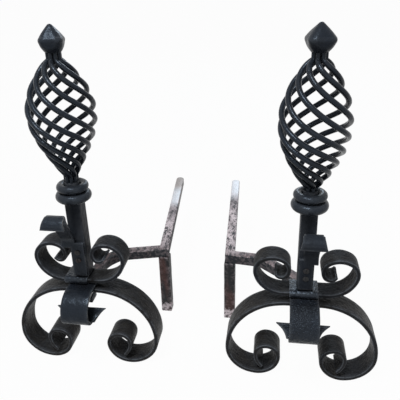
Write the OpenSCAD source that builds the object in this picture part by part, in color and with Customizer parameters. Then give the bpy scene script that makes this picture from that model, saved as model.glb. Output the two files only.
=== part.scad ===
// Pair of wrought-iron andirons (fire dogs): a left-hand and a right-hand one, standing side by side.
// Millimetres, +Z up. The front of the pair faces -Y, the log bars run back along +Y, the floor is Z = 0.
// The origin lies on the floor, at the middle of the pair's overall width and depth.

/* [Pair] */
// Distance between the axes of the two posts
spacing = 320; // [280:1:520]
// Clearance between a tenon or a screw and the hole that it passes through, on the radius
hole_gap = 0.3; // [0.1:0.05:0.6]
// Gap between a ring, a rod or a collar and what it goes round
fit_gap = 0.2; // [0.1:0.05:0.5]

/* [Arch with the scrolled feet] */
// Width of the flat bar of the arch, front to back
arch_w = 37; // [28:1:44]
// Thickness of the flat bar of the arch
arch_t = 6; // [4:0.5:8]
// Half length of the flat top that carries the stack
arch_flat = 22; // [21:1:28]
// Radius of the shoulder
arch_r1 = 84; // [76:1:95]
// Radius where the bar turns under, towards the foot
arch_r2 = 44; // [40:1:48]
// Radius of the foot's first rise
arch_r3 = 31; // [28:1:33]
// Radius of the foot's crown
arch_r4 = 17.5; // [16:0.5:19]
// Radius of the foot's outer side
arch_r5 = 15; // [13:0.5:16]

/* [Upper scroll] */
// Width of the flat bar of the scroll, front to back
scroll_w = 31; // [24:1:36]
// Thickness of the flat bar of the scroll
scroll_t = 6; // [4:0.5:7]
// Half length of the scroll's flat bottom
scroll_flat = 28; // [21:0.5:30]
// Radius of the rising side
scroll_r1 = 39; // [35:1:44]
// Radius of the crown's outer side
scroll_r2 = 22.5; // [20:0.5:25]
// Radius of the crown's inner side
scroll_r3 = 19; // [17:0.5:21]
// Radius of the curl's underside
scroll_r4 = 14; // [12:0.5:15]
// Radius of the curl's last turn
scroll_r5 = 11; // [9:0.5:12]

/* [Collar] */
// Length of the collar along the bar that it wraps
collar_w = 41; // [30:1:50]
// Thickness of the collar's band
collar_t = 4; // [3:0.5:5]

/* [Front curl] */
// Width of the front curl's strap
curl_w = 40; // [30:1:44]
// Thickness of the front curl's strap
curl_t = 5.5; // [4:0.5:7]
// Width across the tips of the front curl's fishtail
curl_tip_w = 76; // [50:1:90]
// Reach of the straight root in front of the post axis
curl_root = 30; // [24:1:36]
// Radius of the front of the curl
curl_r1 = 27; // [24:1:32]
// Radius of the bottom of the curl
curl_r2 = 15; // [12:0.5:18]
// Radius of the fishtail's rise
curl_r3 = 14; // [11:0.5:16]

/* [Post] */
// Side of the square post
post_w = 22; // [20:0.5:28]
// Length of the square post
post_h = 115; // [100:1:130]
// Chamfer of the post's long edges
post_chamfer = 1.2; // [0.4:0.2:3]
// Length of the round neck
neck_h = 28.5; // [26:0.5:34]
// Diameter of the tenon through the stack
tenon_d = 12; // [10:0.5:14]
// Distance across the flats of the square nut under the stack
nut_af = 20; // [18:1:24]
// Thickness of the nut
nut_h = 9; // [6:1:12]

/* [Rings] */
// Bar diameter of the lower ring
ring_low_bar = 14.6; // [10:0.2:17]
// Bar diameter of the upper ring
ring_up_bar = 12; // [9:0.5:14]

/* [Twisted basket] */
// Number of rods in each basket
rods = 8; // [6:1:8]
// Diameter of a rod at the belly
rod_d = 6.6; // [5:0.1:7]
// Diameter of a rod at its drawn-down ends
rod_end_d = 5.4; // [4.5:0.1:5.5]
// Height of the basket between the neck and the finial
basket_h = 170; // [150:1:190]
// Diameter of the basket's belly, outside the rods
basket_d = 91; // [75:1:100]
// Left basket: share of its height at which the belly is widest
left_belly_at = 0.54; // [0.42:0.01:0.58]
// Left basket: roundness of the belly, more is more pointed
left_belly_power = 1.1; // [0.8:0.05:1.5]
// Left basket: twist from its foot to its top, degrees, clockwise seen from above
left_twist = 324; // [240:1:360]
// Left basket: start angle of its first rod
left_phase = 43; // [0:1:60]
// Right basket: share of its height at which the belly is widest
right_belly_at = 0.5; // [0.42:0.01:0.58]
// Right basket: roundness of the belly, more is more pointed
right_belly_power = 1.1; // [0.8:0.05:1.5]
// Right basket: twist from its foot to its top, degrees, clockwise seen from above
right_twist = 323; // [240:1:360]
// Right basket: start angle of its first rod
right_phase = 36; // [0:1:60]
// Length of the pegs that centre the rods at both ends
peg_h = 14; // [8:1:18]

/* [Finial] */
// Height of the finial above the basket
finial_h = 33; // [26:1:40]
// Width of the finial across its flats
finial_w = 31.5; // [28:0.5:40]
// Height of the finial's widest line above its foot
finial_belly = 13; // [9:0.5:17]
// Rounding of the finial's four corners
finial_corner = 9; // [4:0.5:11]
// Turn of the finial on its axis, degrees
finial_turn = 11; // [0:1:45]

/* [Front plate and hook] */
// Width of the plate on the post's front
plate_w = 20; // [16:1:24]
// Thickness of the plate and of the hook
plate_t = 4.5; // [3:0.5:6]
// Height of the plate
plate_h = 51; // [44:1:60]
// Height of the lower screw above the foot of the plate
screw_low = 19.5; // [10:0.5:24]
// Distance between the two screws
screw_pitch = 15; // [12:0.5:18]
// Diameter of the screw heads
screw_head_d = 8; // [6:0.5:10]
// Diameter of the screw shanks
screw_d = 4.5; // [3.5:0.5:5.5]
// Length of the rising part of the hook
hook_rise = 46; // [36:1:56]
// Radius of the hook's curl
hook_r = 11.5; // [9:0.5:15]
// Width of the hook's root
hook_root_w = 19; // [14:1:22]
// Width of the hook across its crown
hook_w = 23; // [20:1:30]
// Width across the hook's fishtail lip
hook_tip_w = 34; // [30:1:46]
// Offset of the hook's crown from the post axis, towards the outer side
hook_out = 2.5; // [0:0.5:9]
// Offset of the left hook's root from the post axis, towards the outer side
left_hook_root = 14; // [4:0.5:15]
// Offset of the right hook's root from the post axis, towards the outer side
right_hook_root = 6; // [4:0.5:15]

/* [Log bars] */
// Side of the square log bar
bar_w = 16; // [12:0.5:18]
// Side of the square leg
leg_w = 18.5; // [12:0.5:20]
// Radius of the log bars' first bend, on the centre line
bar_bend_1 = 52; // [40:1:60]
// Radius of the log bars' second bend, on the centre line
bar_bend_2 = 27; // [22:1:34]
// Left bar: straight root behind the post axis
left_root = 58; // [48:1:66]
// Left bar: turn away from the root, degrees
left_turn = 38; // [30:1:45]
// Left bar: length of the slanting stretch
left_slant = 8; // [4:1:16]
// Left bar: turn into the cross run, degrees
left_square = 37; // [30:1:42]
// Left bar: distance of the corner from the post axis
left_reach = 93.5; // [86:0.5:104]
// Left bar: length of the run behind the corner
left_run = 302; // [240:1:360]
// Left bar: lean of that run, degrees, positive towards the outer side
left_lean = 5; // [-8:0.5:8]
// Right bar: straight root behind the post axis
right_root = 30; // [24:1:40]
// Right bar: turn away from the root, degrees
right_turn = 48; // [40:1:55]
// Right bar: length of the slanting stretch
right_slant = 52; // [42:1:60]
// Right bar: turn into the cross run, degrees
right_square = 35; // [30:1:42]
// Right bar: distance of the corner from the post axis
right_reach = 114; // [106:0.5:124]
// Right bar: length of the run behind the corner
right_run = 303; // [240:1:360]
// Right bar: lean of that run, degrees, positive towards the outer side
right_lean = -2.5; // [-8:0.5:8]

/* [Hidden] */
SIDES = ["left", "right"];
PARTS = ["arch", "front_curl", "collar", "upper_scroll", "post", "base_nut", "ring_lower", "ring_upper",
         "finial", "hook", "hook_screws", "log_bar", "leg"];

arc_step = 7.5;          // degrees between the points of a bent bar
end_taper = 0.35;        // share of the thickness lost at a scroll's drawn-out end
rod_sides = 8;
rod_rings = 38;
rod_straight = 6;        // length of a rod's straight ends
twist_ease = -0.15;      // how much slower a rod turns at its ends
round_fn = 64;

// The rods' ends stand side by side on the neck, round a peg.
rod_ring_r = (rod_end_d + fit_gap) / (2 * sin(180 / rods));
neck_d = 2 * rod_ring_r + rod_end_d;
peg_d = 2 * rod_ring_r - rod_end_d / cos(180 / rod_sides) - 2 * fit_gap;
belly_r = (basket_d - rod_d) / 2;

// Heights of the stack, from the floor up. The arch stands on the bottoms of its two feet.
arch_z = arch_r1 + arch_r2 + arch_t / 2;             // centre line of the arch's flat top
bar_top = arch_z - arch_t / 2;
curl_z = arch_z + arch_t / 2 + curl_t / 2;           // centre line of the front curl's root
collar_z = curl_z + curl_t / 2;                      // underside of the collar
scroll_z = collar_z + collar_t + fit_gap + scroll_t / 2;
collar_top = collar_z + 2 * collar_t + scroll_t + 2 * fit_gap;
post_top = collar_top + post_h;
neck_top = post_top + neck_h;
finial_z = neck_top + basket_h;
nut_z = bar_top - bar_w - nut_h;
ring_low_z = post_top + ring_low_bar / 2 + fit_gap;
ring_low_r = neck_d / 2 + fit_gap + ring_low_bar / 2;
ring_up_r = neck_d / 2 + fit_gap + ring_up_bar / 2;
ring_touch = (ring_low_bar + ring_up_bar) / 2 + fit_gap;
ring_up_z = ring_low_z + sqrt(pow(ring_touch, 2) - pow(ring_low_r - ring_up_r, 2));

// Plate, hook and screws on the post's front face; u runs forward from the post axis.
face_u = post_w / 2;
plate_z = collar_top + 2.5;
plate_top = plate_z + plate_h;
screw_z = [plate_z + screw_low, plate_z + screw_low + screw_pitch];
screw_len = 14;
hook_foot = 9;           // how far down the plate the hook's root reaches
hook_lean = 42;
hook_start = [face_u + plate_t / 2, plate_top - hook_foot];
hook_steps = [[0, hook_foot - 2], [20, -hook_lean], [0, hook_rise], [30, 20], [hook_r, hook_lean - 110]];
lip_steps = [[hook_r, -80], [0, 3]];

//---- Bent bars --------------------------------------------------------------------------------

// Points of one step of a bent bar from p, heading h: [0, length] is straight and [radius, turn] an arc.
// Each point is [x, y, heading].
function bend(p, h, step) = step[0] == 0
    ? [[p[0] + step[1] * cos(h), p[1] + step[1] * sin(h), h]]
    : let (n = max(2, ceil(abs(step[1]) / arc_step)), r = step[0] * sign(step[1]),
           c = [p[0] - r * sin(h), p[1] + r * cos(h)])
      [for (i = [1:n]) let (a = h + step[1] * i / n) [c[0] + r * sin(a), c[1] - r * cos(a), a]];

// The whole centre line: the start point and every step in turn.
function chain(p, h, steps, i = 0) = i == len(steps) ? []
    : let (pts = bend(p, h, steps[i]), last = pts[len(pts) - 1])
      concat(pts, chain([last[0], last[1]], last[2], steps, i + 1));
function centre_line(p, h, steps) = concat([[p[0], p[1], h]], chain(p, h, steps));

// A side of the bar, d to the left of its centre line; thin is the share lost over the last fifth.
function side_line(line, d, thin = 0) = [for (i = [0:len(line) - 1])
    let (k = d * (1 - thin * max(0, 5 * i / (len(line) - 1) - 4)), a = line[i][2])
    [line[i][0] - k * sin(a), line[i][1] + k * cos(a)]];
function backwards(v) = [for (i = [len(v) - 1:-1:0]) v[i]];
function flipped(v) = [for (p = v) [-p[0], p[1]]];
function outline(line, t, thin = 0) =
    concat(side_line(line, t / 2, thin), backwards(side_line(line, -t / 2, thin)));

// A bar bent alike to both sides of X = 0, from the half that starts there.
function twin_outline(line, t, thin) = let (a = side_line(line, t / 2, thin), b = side_line(line, -t / 2, thin))
    concat(flipped(backwards(a)), [for (i = [1:len(a) - 1]) a[i]],
           backwards(b), [for (i = [1:len(b) - 1]) [-b[i][0], b[i][1]]]);

// Upright profile in X and Z, w deep along Y.
module upright(points, w) translate([0, w / 2, 0]) rotate([90, 0, 0]) linear_extrude(w) polygon(points);
// Upright profile in u (forward) and Z, w wide along X.
module sideways(points, w) translate([w / 2, 0, 0]) rotate([90, 0, -90]) linear_extrude(w) polygon(points);

module tenon_hole() translate([0, 0, nut_z - 5]) cylinder(d = tenon_d + 2 * hole_gap, h = 80, $fn = round_fn);

//---- Base -------------------------------------------------------------------------------------

module arch() {
    line = centre_line([0, arch_z], 0, [[0, arch_flat], [arch_r1, -90], [arch_r2, -90], [arch_r3, -90],
                                        [arch_r4, -90], [arch_r5, -90], [2 * arch_r5, -35]]);
    color("#2a2b2d") difference() {
        upright(twin_outline(line, arch_t, end_taper), arch_w);
        tenon_hole();
    }
}

module upper_scroll() {
    line = centre_line([0, scroll_z], 0, [[0, scroll_flat], [scroll_r1, 78], [scroll_r2, 102], [scroll_r3, 90],
                                          [scroll_r4, 90], [scroll_r5, 60]]);
    color("#26282b") difference() {
        upright(twin_outline(line, scroll_t, end_taper), scroll_w);
        tenon_hole();
    }
}

// Rounded rectangle in u and Z, centred on [0, z].
function round_rect(w, h, r, z) = [for (k = [0:3], i = [0:4]) let (a = 90 * k + 22.5 * i)
    [(k == 0 || k == 3 ? 1 : -1) * (w / 2 - r) + r * cos(a), z + (k < 2 ? 1 : -1) * (h / 2 - r) + r * sin(a)]];

module collar() {
    hole_w = scroll_w + 2 * fit_gap;
    hole_h = scroll_t + 2 * fit_gap;
    color("#2b2f36") difference() {
        sideways(round_rect(hole_w + 2 * collar_t, hole_h + 2 * collar_t, collar_t, scroll_z), collar_w);
        sideways(round_rect(hole_w, hole_h, 0.5, scroll_z), collar_w + 2);
        tenon_hole();
    }
}

// The strap under the collar, which comes forward over the arch, turns down and curls back to a fishtail.
module front_curl() {
    back = arch_w / 2 - 2;
    front = centre_line([-back, curl_z], 0, [[0, back + curl_root], [curl_r1, -90], [curl_r2, -90]]);
    low = front[len(front) - 1];
    rise = centre_line([low[0], low[1]], low[2], [[curl_r3, -90]]);
    low_z = low[1] - curl_t / 2;
    tip_z = rise[len(rise) - 1][1] + 1;
    half = curl_w / 2;
    tip = curl_tip_w / 2;
    color("#2b2f36") union() {
        difference() {
            sideways(outline(front, curl_t), curl_w);
            tenon_hole();
        }
        intersection() {
            sideways(outline(rise, curl_t, end_taper), curl_tip_w + 2);
            translate([0, -low[0], 0]) upright([[-half, low_z], [half, low_z], [tip, tip_z], [-tip, tip_z]],
                4 * curl_r3);
        }
    }
}

module base_nut() {
    color("#1d1e20") difference() {
        translate([-nut_af / 2, -nut_af / 2, nut_z]) cube([nut_af, nut_af, nut_h]);
        tenon_hole();
    }
}

//---- Post and rings ---------------------------------------------------------------------------

module post() {
    c = post_w / 2;
    k = c - post_chamfer;
    color("#232528") difference() {
        union() {
            translate([0, 0, collar_top]) linear_extrude(post_h)
                polygon([[k, -c], [c, -k], [c, k], [k, c], [-k, c], [-c, k], [-c, -k], [-k, -c]]);
            translate([0, 0, post_top - 1]) cylinder(d = neck_d, h = neck_h + 1, $fn = round_fn);
            translate([0, 0, neck_top - 1]) cylinder(d = peg_d, h = peg_h + 1, $fn = round_fn);
            translate([0, 0, nut_z - 3]) cylinder(d = tenon_d, h = collar_top - nut_z + 4, $fn = round_fn);
        }
        for (z = screw_z) translate([0, -c - 1, z]) rotate([-90, 0, 0])
            cylinder(d = screw_d + 2 * hole_gap, h = screw_len + 2, $fn = 32);
    }
}

module ring(r, bar, z) {
    color("#2b2f35") translate([0, 0, z]) rotate_extrude($fn = 96) translate([r, 0]) circle(d = bar, $fn = 48);
}

//---- Twisted basket and finial ----------------------------------------------------------------

// Each rod is described at a share t of its twisted height, from 0 at its foot to 1 at its head.
// shape is [height share of the belly, roundness of the belly, twist, start angle].
function belly(t, shape) = pow(max(0, sin(180 * pow(t, ln(0.5) / ln(shape[0])))), shape[1]);
function rod_r(t, shape) = rod_ring_r + (belly_r - rod_ring_r) * belly(t, shape);
function rod_angle(t, shape) = shape[3] - shape[2] * (t + twist_ease * sin(720 * t) / (4 * PI));
function rod_half(t, shape) =
    (rod_end_d + (rod_d - rod_end_d) * min(1, (rod_r(t, shape) - rod_ring_r) / rod_d)) / 2;
function rod_point(t, shape) = let (a = rod_angle(t, shape), r = rod_r(t, shape))
    [r * cos(a), r * sin(a), neck_top + rod_straight + t * (basket_h - 2 * rod_straight)];
function unit(v) = v / norm(v);

// One section of the rod, square to its path and turned to face outwards.
function rod_section(p, tangent, radius) = let (
    out = unit([p[0], p[1], 0]),
    side = unit(cross(tangent, out)),
    face = cross(side, tangent))
    [for (i = [0:rod_sides - 1]) let (a = 360 * i / rod_sides)
        p + radius / cos(180 / rod_sides) * (cos(a) * face + sin(a) * side)];

module basket_rod(index, side_shape) {
    shape = [side_shape[0], side_shape[1], side_shape[2], side_shape[3] + 360 * index / rods];
    up = [0, 0, 1];
    d = 0.002;
    foot = rod_point(0, shape);
    head = rod_point(1, shape);
    sections = concat(
        [rod_section([foot[0], foot[1], neck_top], up, rod_half(0, shape))],
        [for (i = [0:rod_rings - 1]) let (t = i / (rod_rings - 1), lo = max(0, t - d), hi = min(1, t + d),
            tangent = t == 0 || t == 1 ? up : unit(rod_point(hi, shape) - rod_point(lo, shape)))
            rod_section(rod_point(t, shape), tangent, rod_half(t, shape))],
        [rod_section([head[0], head[1], finial_z], up, rod_half(1, shape))]);
    n = len(sections);
    faces = concat(
        [[for (j = [0:rod_sides - 1]) j]],
        [for (i = [0:n - 2], j = [0:rod_sides - 1]) let (k = (j + 1) % rod_sides, b = i * rod_sides)
            each [[b + j, b + rod_sides + j, b + rod_sides + k], [b + j, b + rod_sides + k, b + k]]],
        [[for (j = [rod_sides - 1:-1:0]) (n - 1) * rod_sides + j]]);
    color("#24272c") polyhedron([for (s = sections) each s], faces, convexity = 4);
}

// Rounded four-sided point on a round foot, with a peg between the rods' heads.
module finial() {
    k = finial_w / 2 - finial_corner;
    foot_r = neck_d / 2 + 0.4;
    color("#2a2e36") union() {
        rotate([0, 0, finial_turn]) hull() {
            translate([0, 0, finial_z + finial_h - 3]) sphere(r = 3, $fn = 24);
            for (x = [-k, k], y = [-k, k])
                translate([x, y, finial_z + finial_belly]) sphere(r = finial_corner, $fn = 24);
            translate([0, 0, finial_z]) cylinder(r = foot_r, h = 1, $fn = 32);
        }
        translate([0, 0, finial_z - peg_h]) cylinder(d = peg_d, h = peg_h + 2, $fn = round_fn);
    }
}

//---- Plate, hook and screws -------------------------------------------------------------------

// The plate lies on the post's front; the hook grows from its outer top corner, leans forward and curls
// over to a fishtail lip. out is -1 where the outer side is -X and 1 where it is +X.
module hook(out, root_at) {
    rise = centre_line(hook_start, 90, hook_steps);
    crown = rise[len(rise) - 1];
    lip = centre_line([crown[0], crown[1]], crown[2], lip_steps);
    crown_z = crown[1] + plate_t;
    lip_z = lip[len(lip) - 1][1] - 1;
    root = out * root_at;
    mid = out * hook_out;
    foot_z = hook_start[1];
    c = plate_w / 2;
    color("#2b2f36") difference() {
        union() {
            translate([0, -hook_start[0], 0]) upright([[-c, plate_z], [c, plate_z], [c, plate_top - 1],
                [c - 1, plate_top], [1 - c, plate_top], [-c, plate_top - 1]], plate_t);
            intersection() {
                sideways(outline(rise, plate_t), 3 * hook_tip_w);
                translate([0, -crown[0], 0]) upright([[root - hook_root_w / 2, foot_z], [root + hook_root_w / 2, foot_z],
                    [mid + hook_w / 2, crown_z], [mid - hook_w / 2, crown_z]], 3 * crown[0]);
            }
            intersection() {
                sideways(outline(lip, plate_t, end_taper), 3 * hook_tip_w);
                translate([0, -crown[0], 0]) upright([[mid - hook_tip_w / 2, lip_z], [mid + hook_tip_w / 2, lip_z],
                    [mid + hook_w / 2, crown_z], [mid - hook_w / 2, crown_z]], 3 * crown[0]);
            }
        }
        for (z = screw_z) translate([0, -face_u - plate_t - 1, z]) rotate([-90, 0, 0])
            cylinder(d = screw_d + 2 * hole_gap, h = plate_t + 2, $fn = 32);
    }
}

module hook_screws() {
    head_h = 2;
    color("#2d2b29") for (z = screw_z) translate([0, -face_u - plate_t, z]) rotate([90, 0, 0]) difference() {
        union() {
            cylinder(d = screw_head_d, h = head_h * 0.6, $fn = 48);
            translate([0, 0, head_h * 0.6 - 0.01]) cylinder(d1 = screw_head_d, d2 = screw_head_d * 0.7, h = head_h * 0.4,
                $fn = 48);
            translate([0, 0, -plate_t - screw_len]) cylinder(d = screw_d, h = plate_t + screw_len + 0.5, $fn = 32);
        }
        rotate([0, 0, z == screw_z[0] ? 35 : 60]) translate([-screw_head_d, -0.6, head_h - 1])
            cube([2 * screw_head_d, 1.2, 2]);
    }
}

//---- Log bars ---------------------------------------------------------------------------------

// Each route is drawn with the inner side at +X: root, turn, slant, turn, cross run.
function cross_line(root, turn, slant, square, reach) = let (
    part = centre_line([0, -bar_w + 2], 90,
        [[0, root + bar_w - 2], [bar_bend_1, -turn], [0, slant], [bar_bend_2, -square]]),
    end = part[len(part) - 1])
    concat(part, bend([end[0], end[1]], end[2], [0, (reach - end[0]) / cos(end[2])]));
function last_of(v) = v[len(v) - 1];

// The run behind the corner, with a rounded tip.
function run_outline(corner, run, lean) = let (
    a = 90 + lean, h = bar_w / 2, tip = [corner[0] + run * cos(a), corner[1] + run * sin(a)],
    s = [h * sin(a), -h * cos(a)], back = [corner[0] - h * cos(a), corner[1] - h * sin(a)])
    concat([back + s], [for (i = [0:6]) tip + h * [cos(a - 90 + 30 * i), sin(a - 90 + 30 * i)]], [back - s]);

module log_bar(line, run, lean, side) {
    end = last_of(line);
    corner = [end[0], end[1]];
    long_cross = concat(line, bend(corner, end[2], [0, bar_w / 2]));
    color("#5d4f4b") difference() {
        translate([0, 0, bar_top - bar_w]) union() {
            linear_extrude(bar_w) polygon([for (p = outline(long_cross, bar_w)) [side * p[0], p[1]]]);
            linear_extrude(bar_w) polygon([for (p = run_outline(corner, run, lean)) [side * p[0], p[1]]]);
        }
        tenon_hole();
    }
}

module leg(line, side) {
    corner = last_of(line);
    h = bar_top - bar_w;
    chamfer = 1.5;
    color("#4a3b37") translate([side * corner[0] - leg_w / 2, corner[1] - leg_w / 2, 0]) union() {
        translate([chamfer, chamfer, 0]) cube([leg_w - 2 * chamfer, leg_w - 2 * chamfer, h]);
        translate([0, 0, chamfer]) cube([leg_w, leg_w, h - chamfer]);
    }
}

//---- The two andirons -------------------------------------------------------------------------

left_line = cross_line(left_root, left_turn, left_slant, left_square, left_reach);
right_line = cross_line(right_root, right_turn, right_slant, right_square, right_reach);

left_basket = [left_belly_at, left_belly_power, left_twist, left_phase];
right_basket = [right_belly_at, right_belly_power, right_twist, right_phase];

// Overall depth, which places the origin at its middle.
function run_back(line, run, lean) = last_of(line)[1] + run * cos(lean) + bar_w / 2;
depth_back = max(run_back(left_line, left_run, left_lean), run_back(right_line, right_run, right_lean));
hook_line = centre_line(hook_start, 90, concat(hook_steps, lip_steps));
depth_front = max([for (p = side_line(hook_line, plate_t / 2)) p[0]]);
post_y = (depth_front - depth_back) / 2;

module place(side) translate([(side == "left" ? -1 : 1) * spacing / 2, post_y, 0]) children();
function inner(side) = side == "left" ? 1 : -1;

module piece(side, part) place(side) {
    line = side == "left" ? left_line : right_line;
    if (part == "arch") arch();
    if (part == "front_curl") front_curl();
    if (part == "collar") collar();
    if (part == "upper_scroll") upper_scroll();
    if (part == "post") post();
    if (part == "base_nut") base_nut();
    if (part == "ring_lower") ring(ring_low_r, ring_low_bar, ring_low_z);
    if (part == "ring_upper") ring(ring_up_r, ring_up_bar, ring_up_z);
    if (part == "finial") finial();
    if (part == "hook") hook(-inner(side), side == "left" ? left_hook_root : right_hook_root);
    if (part == "hook_screws") hook_screws();
    if (part == "log_bar") log_bar(line, side == "left" ? left_run : right_run,
                                   side == "left" ? left_lean : right_lean, inner(side));
    if (part == "leg") leg(line, inner(side));
}

for (side = SIDES, part = PARTS)
    piece(side, part);
for (side = SIDES, i = [1:rods])
    place(side)
        basket_rod(i - 1, side == "left" ? left_basket : right_basket);
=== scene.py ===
"""Dresses the packed pair of andirons.

Makes forged straps with eased edges, twisted baskets, stove black and fire-scaled log bars.
"""

import math
from types import SimpleNamespace

import bmesh
import bpy
import numpy as np
from bpy.props import FloatProperty, FloatVectorProperty, IntProperty, PointerProperty
from mathutils import Matrix, Vector, noise


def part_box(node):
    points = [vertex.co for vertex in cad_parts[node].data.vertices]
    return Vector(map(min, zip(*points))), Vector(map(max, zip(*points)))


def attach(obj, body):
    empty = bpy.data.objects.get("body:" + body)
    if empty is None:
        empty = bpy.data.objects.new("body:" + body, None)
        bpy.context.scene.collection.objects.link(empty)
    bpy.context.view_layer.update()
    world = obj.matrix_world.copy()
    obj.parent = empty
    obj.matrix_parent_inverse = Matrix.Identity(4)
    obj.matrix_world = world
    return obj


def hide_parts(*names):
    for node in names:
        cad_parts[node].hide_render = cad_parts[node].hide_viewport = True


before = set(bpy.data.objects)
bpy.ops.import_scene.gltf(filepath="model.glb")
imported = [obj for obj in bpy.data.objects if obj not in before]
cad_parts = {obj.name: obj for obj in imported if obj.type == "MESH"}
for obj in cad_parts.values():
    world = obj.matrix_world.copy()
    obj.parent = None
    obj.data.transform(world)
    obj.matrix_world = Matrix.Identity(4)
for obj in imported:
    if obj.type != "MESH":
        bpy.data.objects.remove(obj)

bl_info = {
    "name": "Twisted basket andirons",
    "version": (1, 0, 0),
    "blender": (4, 5, 0),
    "location": "3D View > Sidebar > Andirons",
    "description": "Makes a pair of forged andirons piece by piece, with paint, scale and studio",
    "category": "Object",
}

MM = 0.001
SIDES = ("left", "right")
OUTER = {"left": -1, "right": 1}
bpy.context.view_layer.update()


# ---- Sizes and colours ----------------------------------------------------------------------


def length(name, description, millimetres, low=0.0):
    """A length in metres, given in millimetres."""
    return FloatProperty(name=name, description=description, default=millimetres * MM,
                         min=low * MM, subtype="DISTANCE", unit="LENGTH", precision=4)


def signed(name, description, millimetres):
    """A length in metres that may be negative, given in millimetres."""
    return length(name, description, millimetres, low=-60)


def degrees(name, description, value):
    """An angle, given in degrees."""
    return FloatProperty(name=name, description=description, default=math.radians(value),
                         subtype="ANGLE", unit="ROTATION")


def share(name, description, value):
    """A plain number."""
    return FloatProperty(name=name, description=description, default=value, min=0.0, max=3.0)


def count(name, description, value):
    """A whole number."""
    return IntProperty(name=name, description=description, default=value, min=3, max=12)


def colour(name, description, rgb):
    """A linear colour."""
    return FloatVectorProperty(name=name, description=description, default=rgb, size=3,
                               min=0.0, max=1.0, subtype="COLOR")


class AndironSizes(bpy.types.PropertyGroup):
    """Sizes that both andirons share."""

    arch_w: length("Arch width", "Width of the arch's flat bar, front to back", 37)
    arch_t: length("Arch thickness", "Thickness of the arch's flat bar", 6)
    arch_flat: length("Arch flat", "Half length of the arch's flat top", 22)
    arch_r1: length("Shoulder radius", "Radius of the arch's shoulder", 84)
    arch_r2: length("Turn-under radius", "Radius where the bar turns under", 44)
    arch_r3: length("Foot rise radius", "Radius of the foot's first rise", 31)
    arch_r4: length("Foot crown radius", "Radius of the foot's crown", 18)
    arch_r5: length("Foot side radius", "Radius of the foot's outer side", 15.5)
    scroll_w: length("Scroll width", "Width of the upper scroll's bar", 31)
    scroll_t: length("Scroll thickness", "Thickness of the upper scroll's bar", 6)
    scroll_r1: length("Scroll rise radius", "Radius of the scroll's rising side", 39)
    scroll_r3: length("Scroll crown radius", "Radius of the scroll's flat crown", 28)
    scroll_r4: length("Scroll inner shoulder", "Radius of the inner shoulder", 16)
    scroll_r5: length("Scroll end radius", "Radius of the curled end", 9)
    collar_t: length("Collar thickness", "Thickness of the collar's band", 2.8)
    curl_w: length("Front curl width", "Width of the front curl's strap", 40)
    curl_t: length("Front curl thickness", "Thickness of the front curl's strap", 5.5)
    curl_tip_w: length("Fishtail width", "Width across the front curl's fishtail", 76)
    curl_root: length("Front curl root", "Reach of the curl's straight root", 30)
    curl_r2: length("Curl bottom radius", "Radius of the bottom of the curl", 15)
    curl_r3: length("Fishtail radius", "Radius of the fishtail's rise", 14)
    post_w: length("Post side", "Side of the square post", 22)
    post_h: length("Post length", "Length of the square post", 117.4)
    neck_h: length("Neck length", "Length of the round neck", 28.5)
    neck_d: length("Neck diameter", "Diameter of the round neck", 20)
    nut_af: length("Nut width", "Distance across the nut's flats", 20)
    nut_h: length("Nut thickness", "Thickness of the nut under the stack", 9)
    ring_low_bar: length("Lower ring bar", "Bar diameter of the lower ring", 14.6)
    ring_up_bar: length("Upper ring bar", "Bar diameter of the upper ring", 12)
    fit_gap: length("Fit gap", "Gap between a ring, rod or collar and what it goes round", 0.2)
    rod_d: length("Rod diameter", "Diameter of a rod at the belly", 7)
    twist_ends: share("Faster ends", "Share by which a basket twists faster at its ends", 0.1)
    basket_h: length("Basket height", "Height between the neck and the finial", 170)
    basket_d: length("Basket diameter", "Diameter of the belly, outside the rods", 90)
    peg_h: length("Peg length", "Length of the pegs that centre the rods", 14)
    finial_h: length("Finial height", "Height of the finial above the basket", 33)
    finial_belly: length("Finial ridge", "Height of the finial's widest line", 14)
    finial_turn: degrees("Finial turn", "Turn of the finial on its axis", 11)
    plate_w: length("Plate width", "Width of the plate on the post's front", 20)
    plate_t: length("Plate thickness", "Thickness of the plate and of the hook", 4.5)
    screw_pitch: length("Screw pitch", "Distance between the two screws", 12.5)
    screw_head_d: length("Screw head", "Diameter of the screw heads", 8)
    hook_rise: length("Hook rise", "Length of the hook's rising part", 46)
    hook_r: length("Hook radius", "Radius of the hook's curl", 11.5)
    hook_root_w: length("Hook root width", "Width of the hook's root", 20)
    hook_w: length("Hook width", "Width of the hook across its crown", 23)
    hook_tip_w: length("Hook lip width", "Width across the hook's fishtail lip", 34)
    hook_out: length("Hook offset", "Offset of the hook's crown towards the outer side", 2.5)
    bar_w: length("Log bar side", "Side of the square log bar", 16)
    bar_bend_1: length("First bend", "Radius of the log bar's first bend", 52)
    bar_bend_2: length("Second bend", "Radius of the log bar's second bend", 27)


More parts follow.
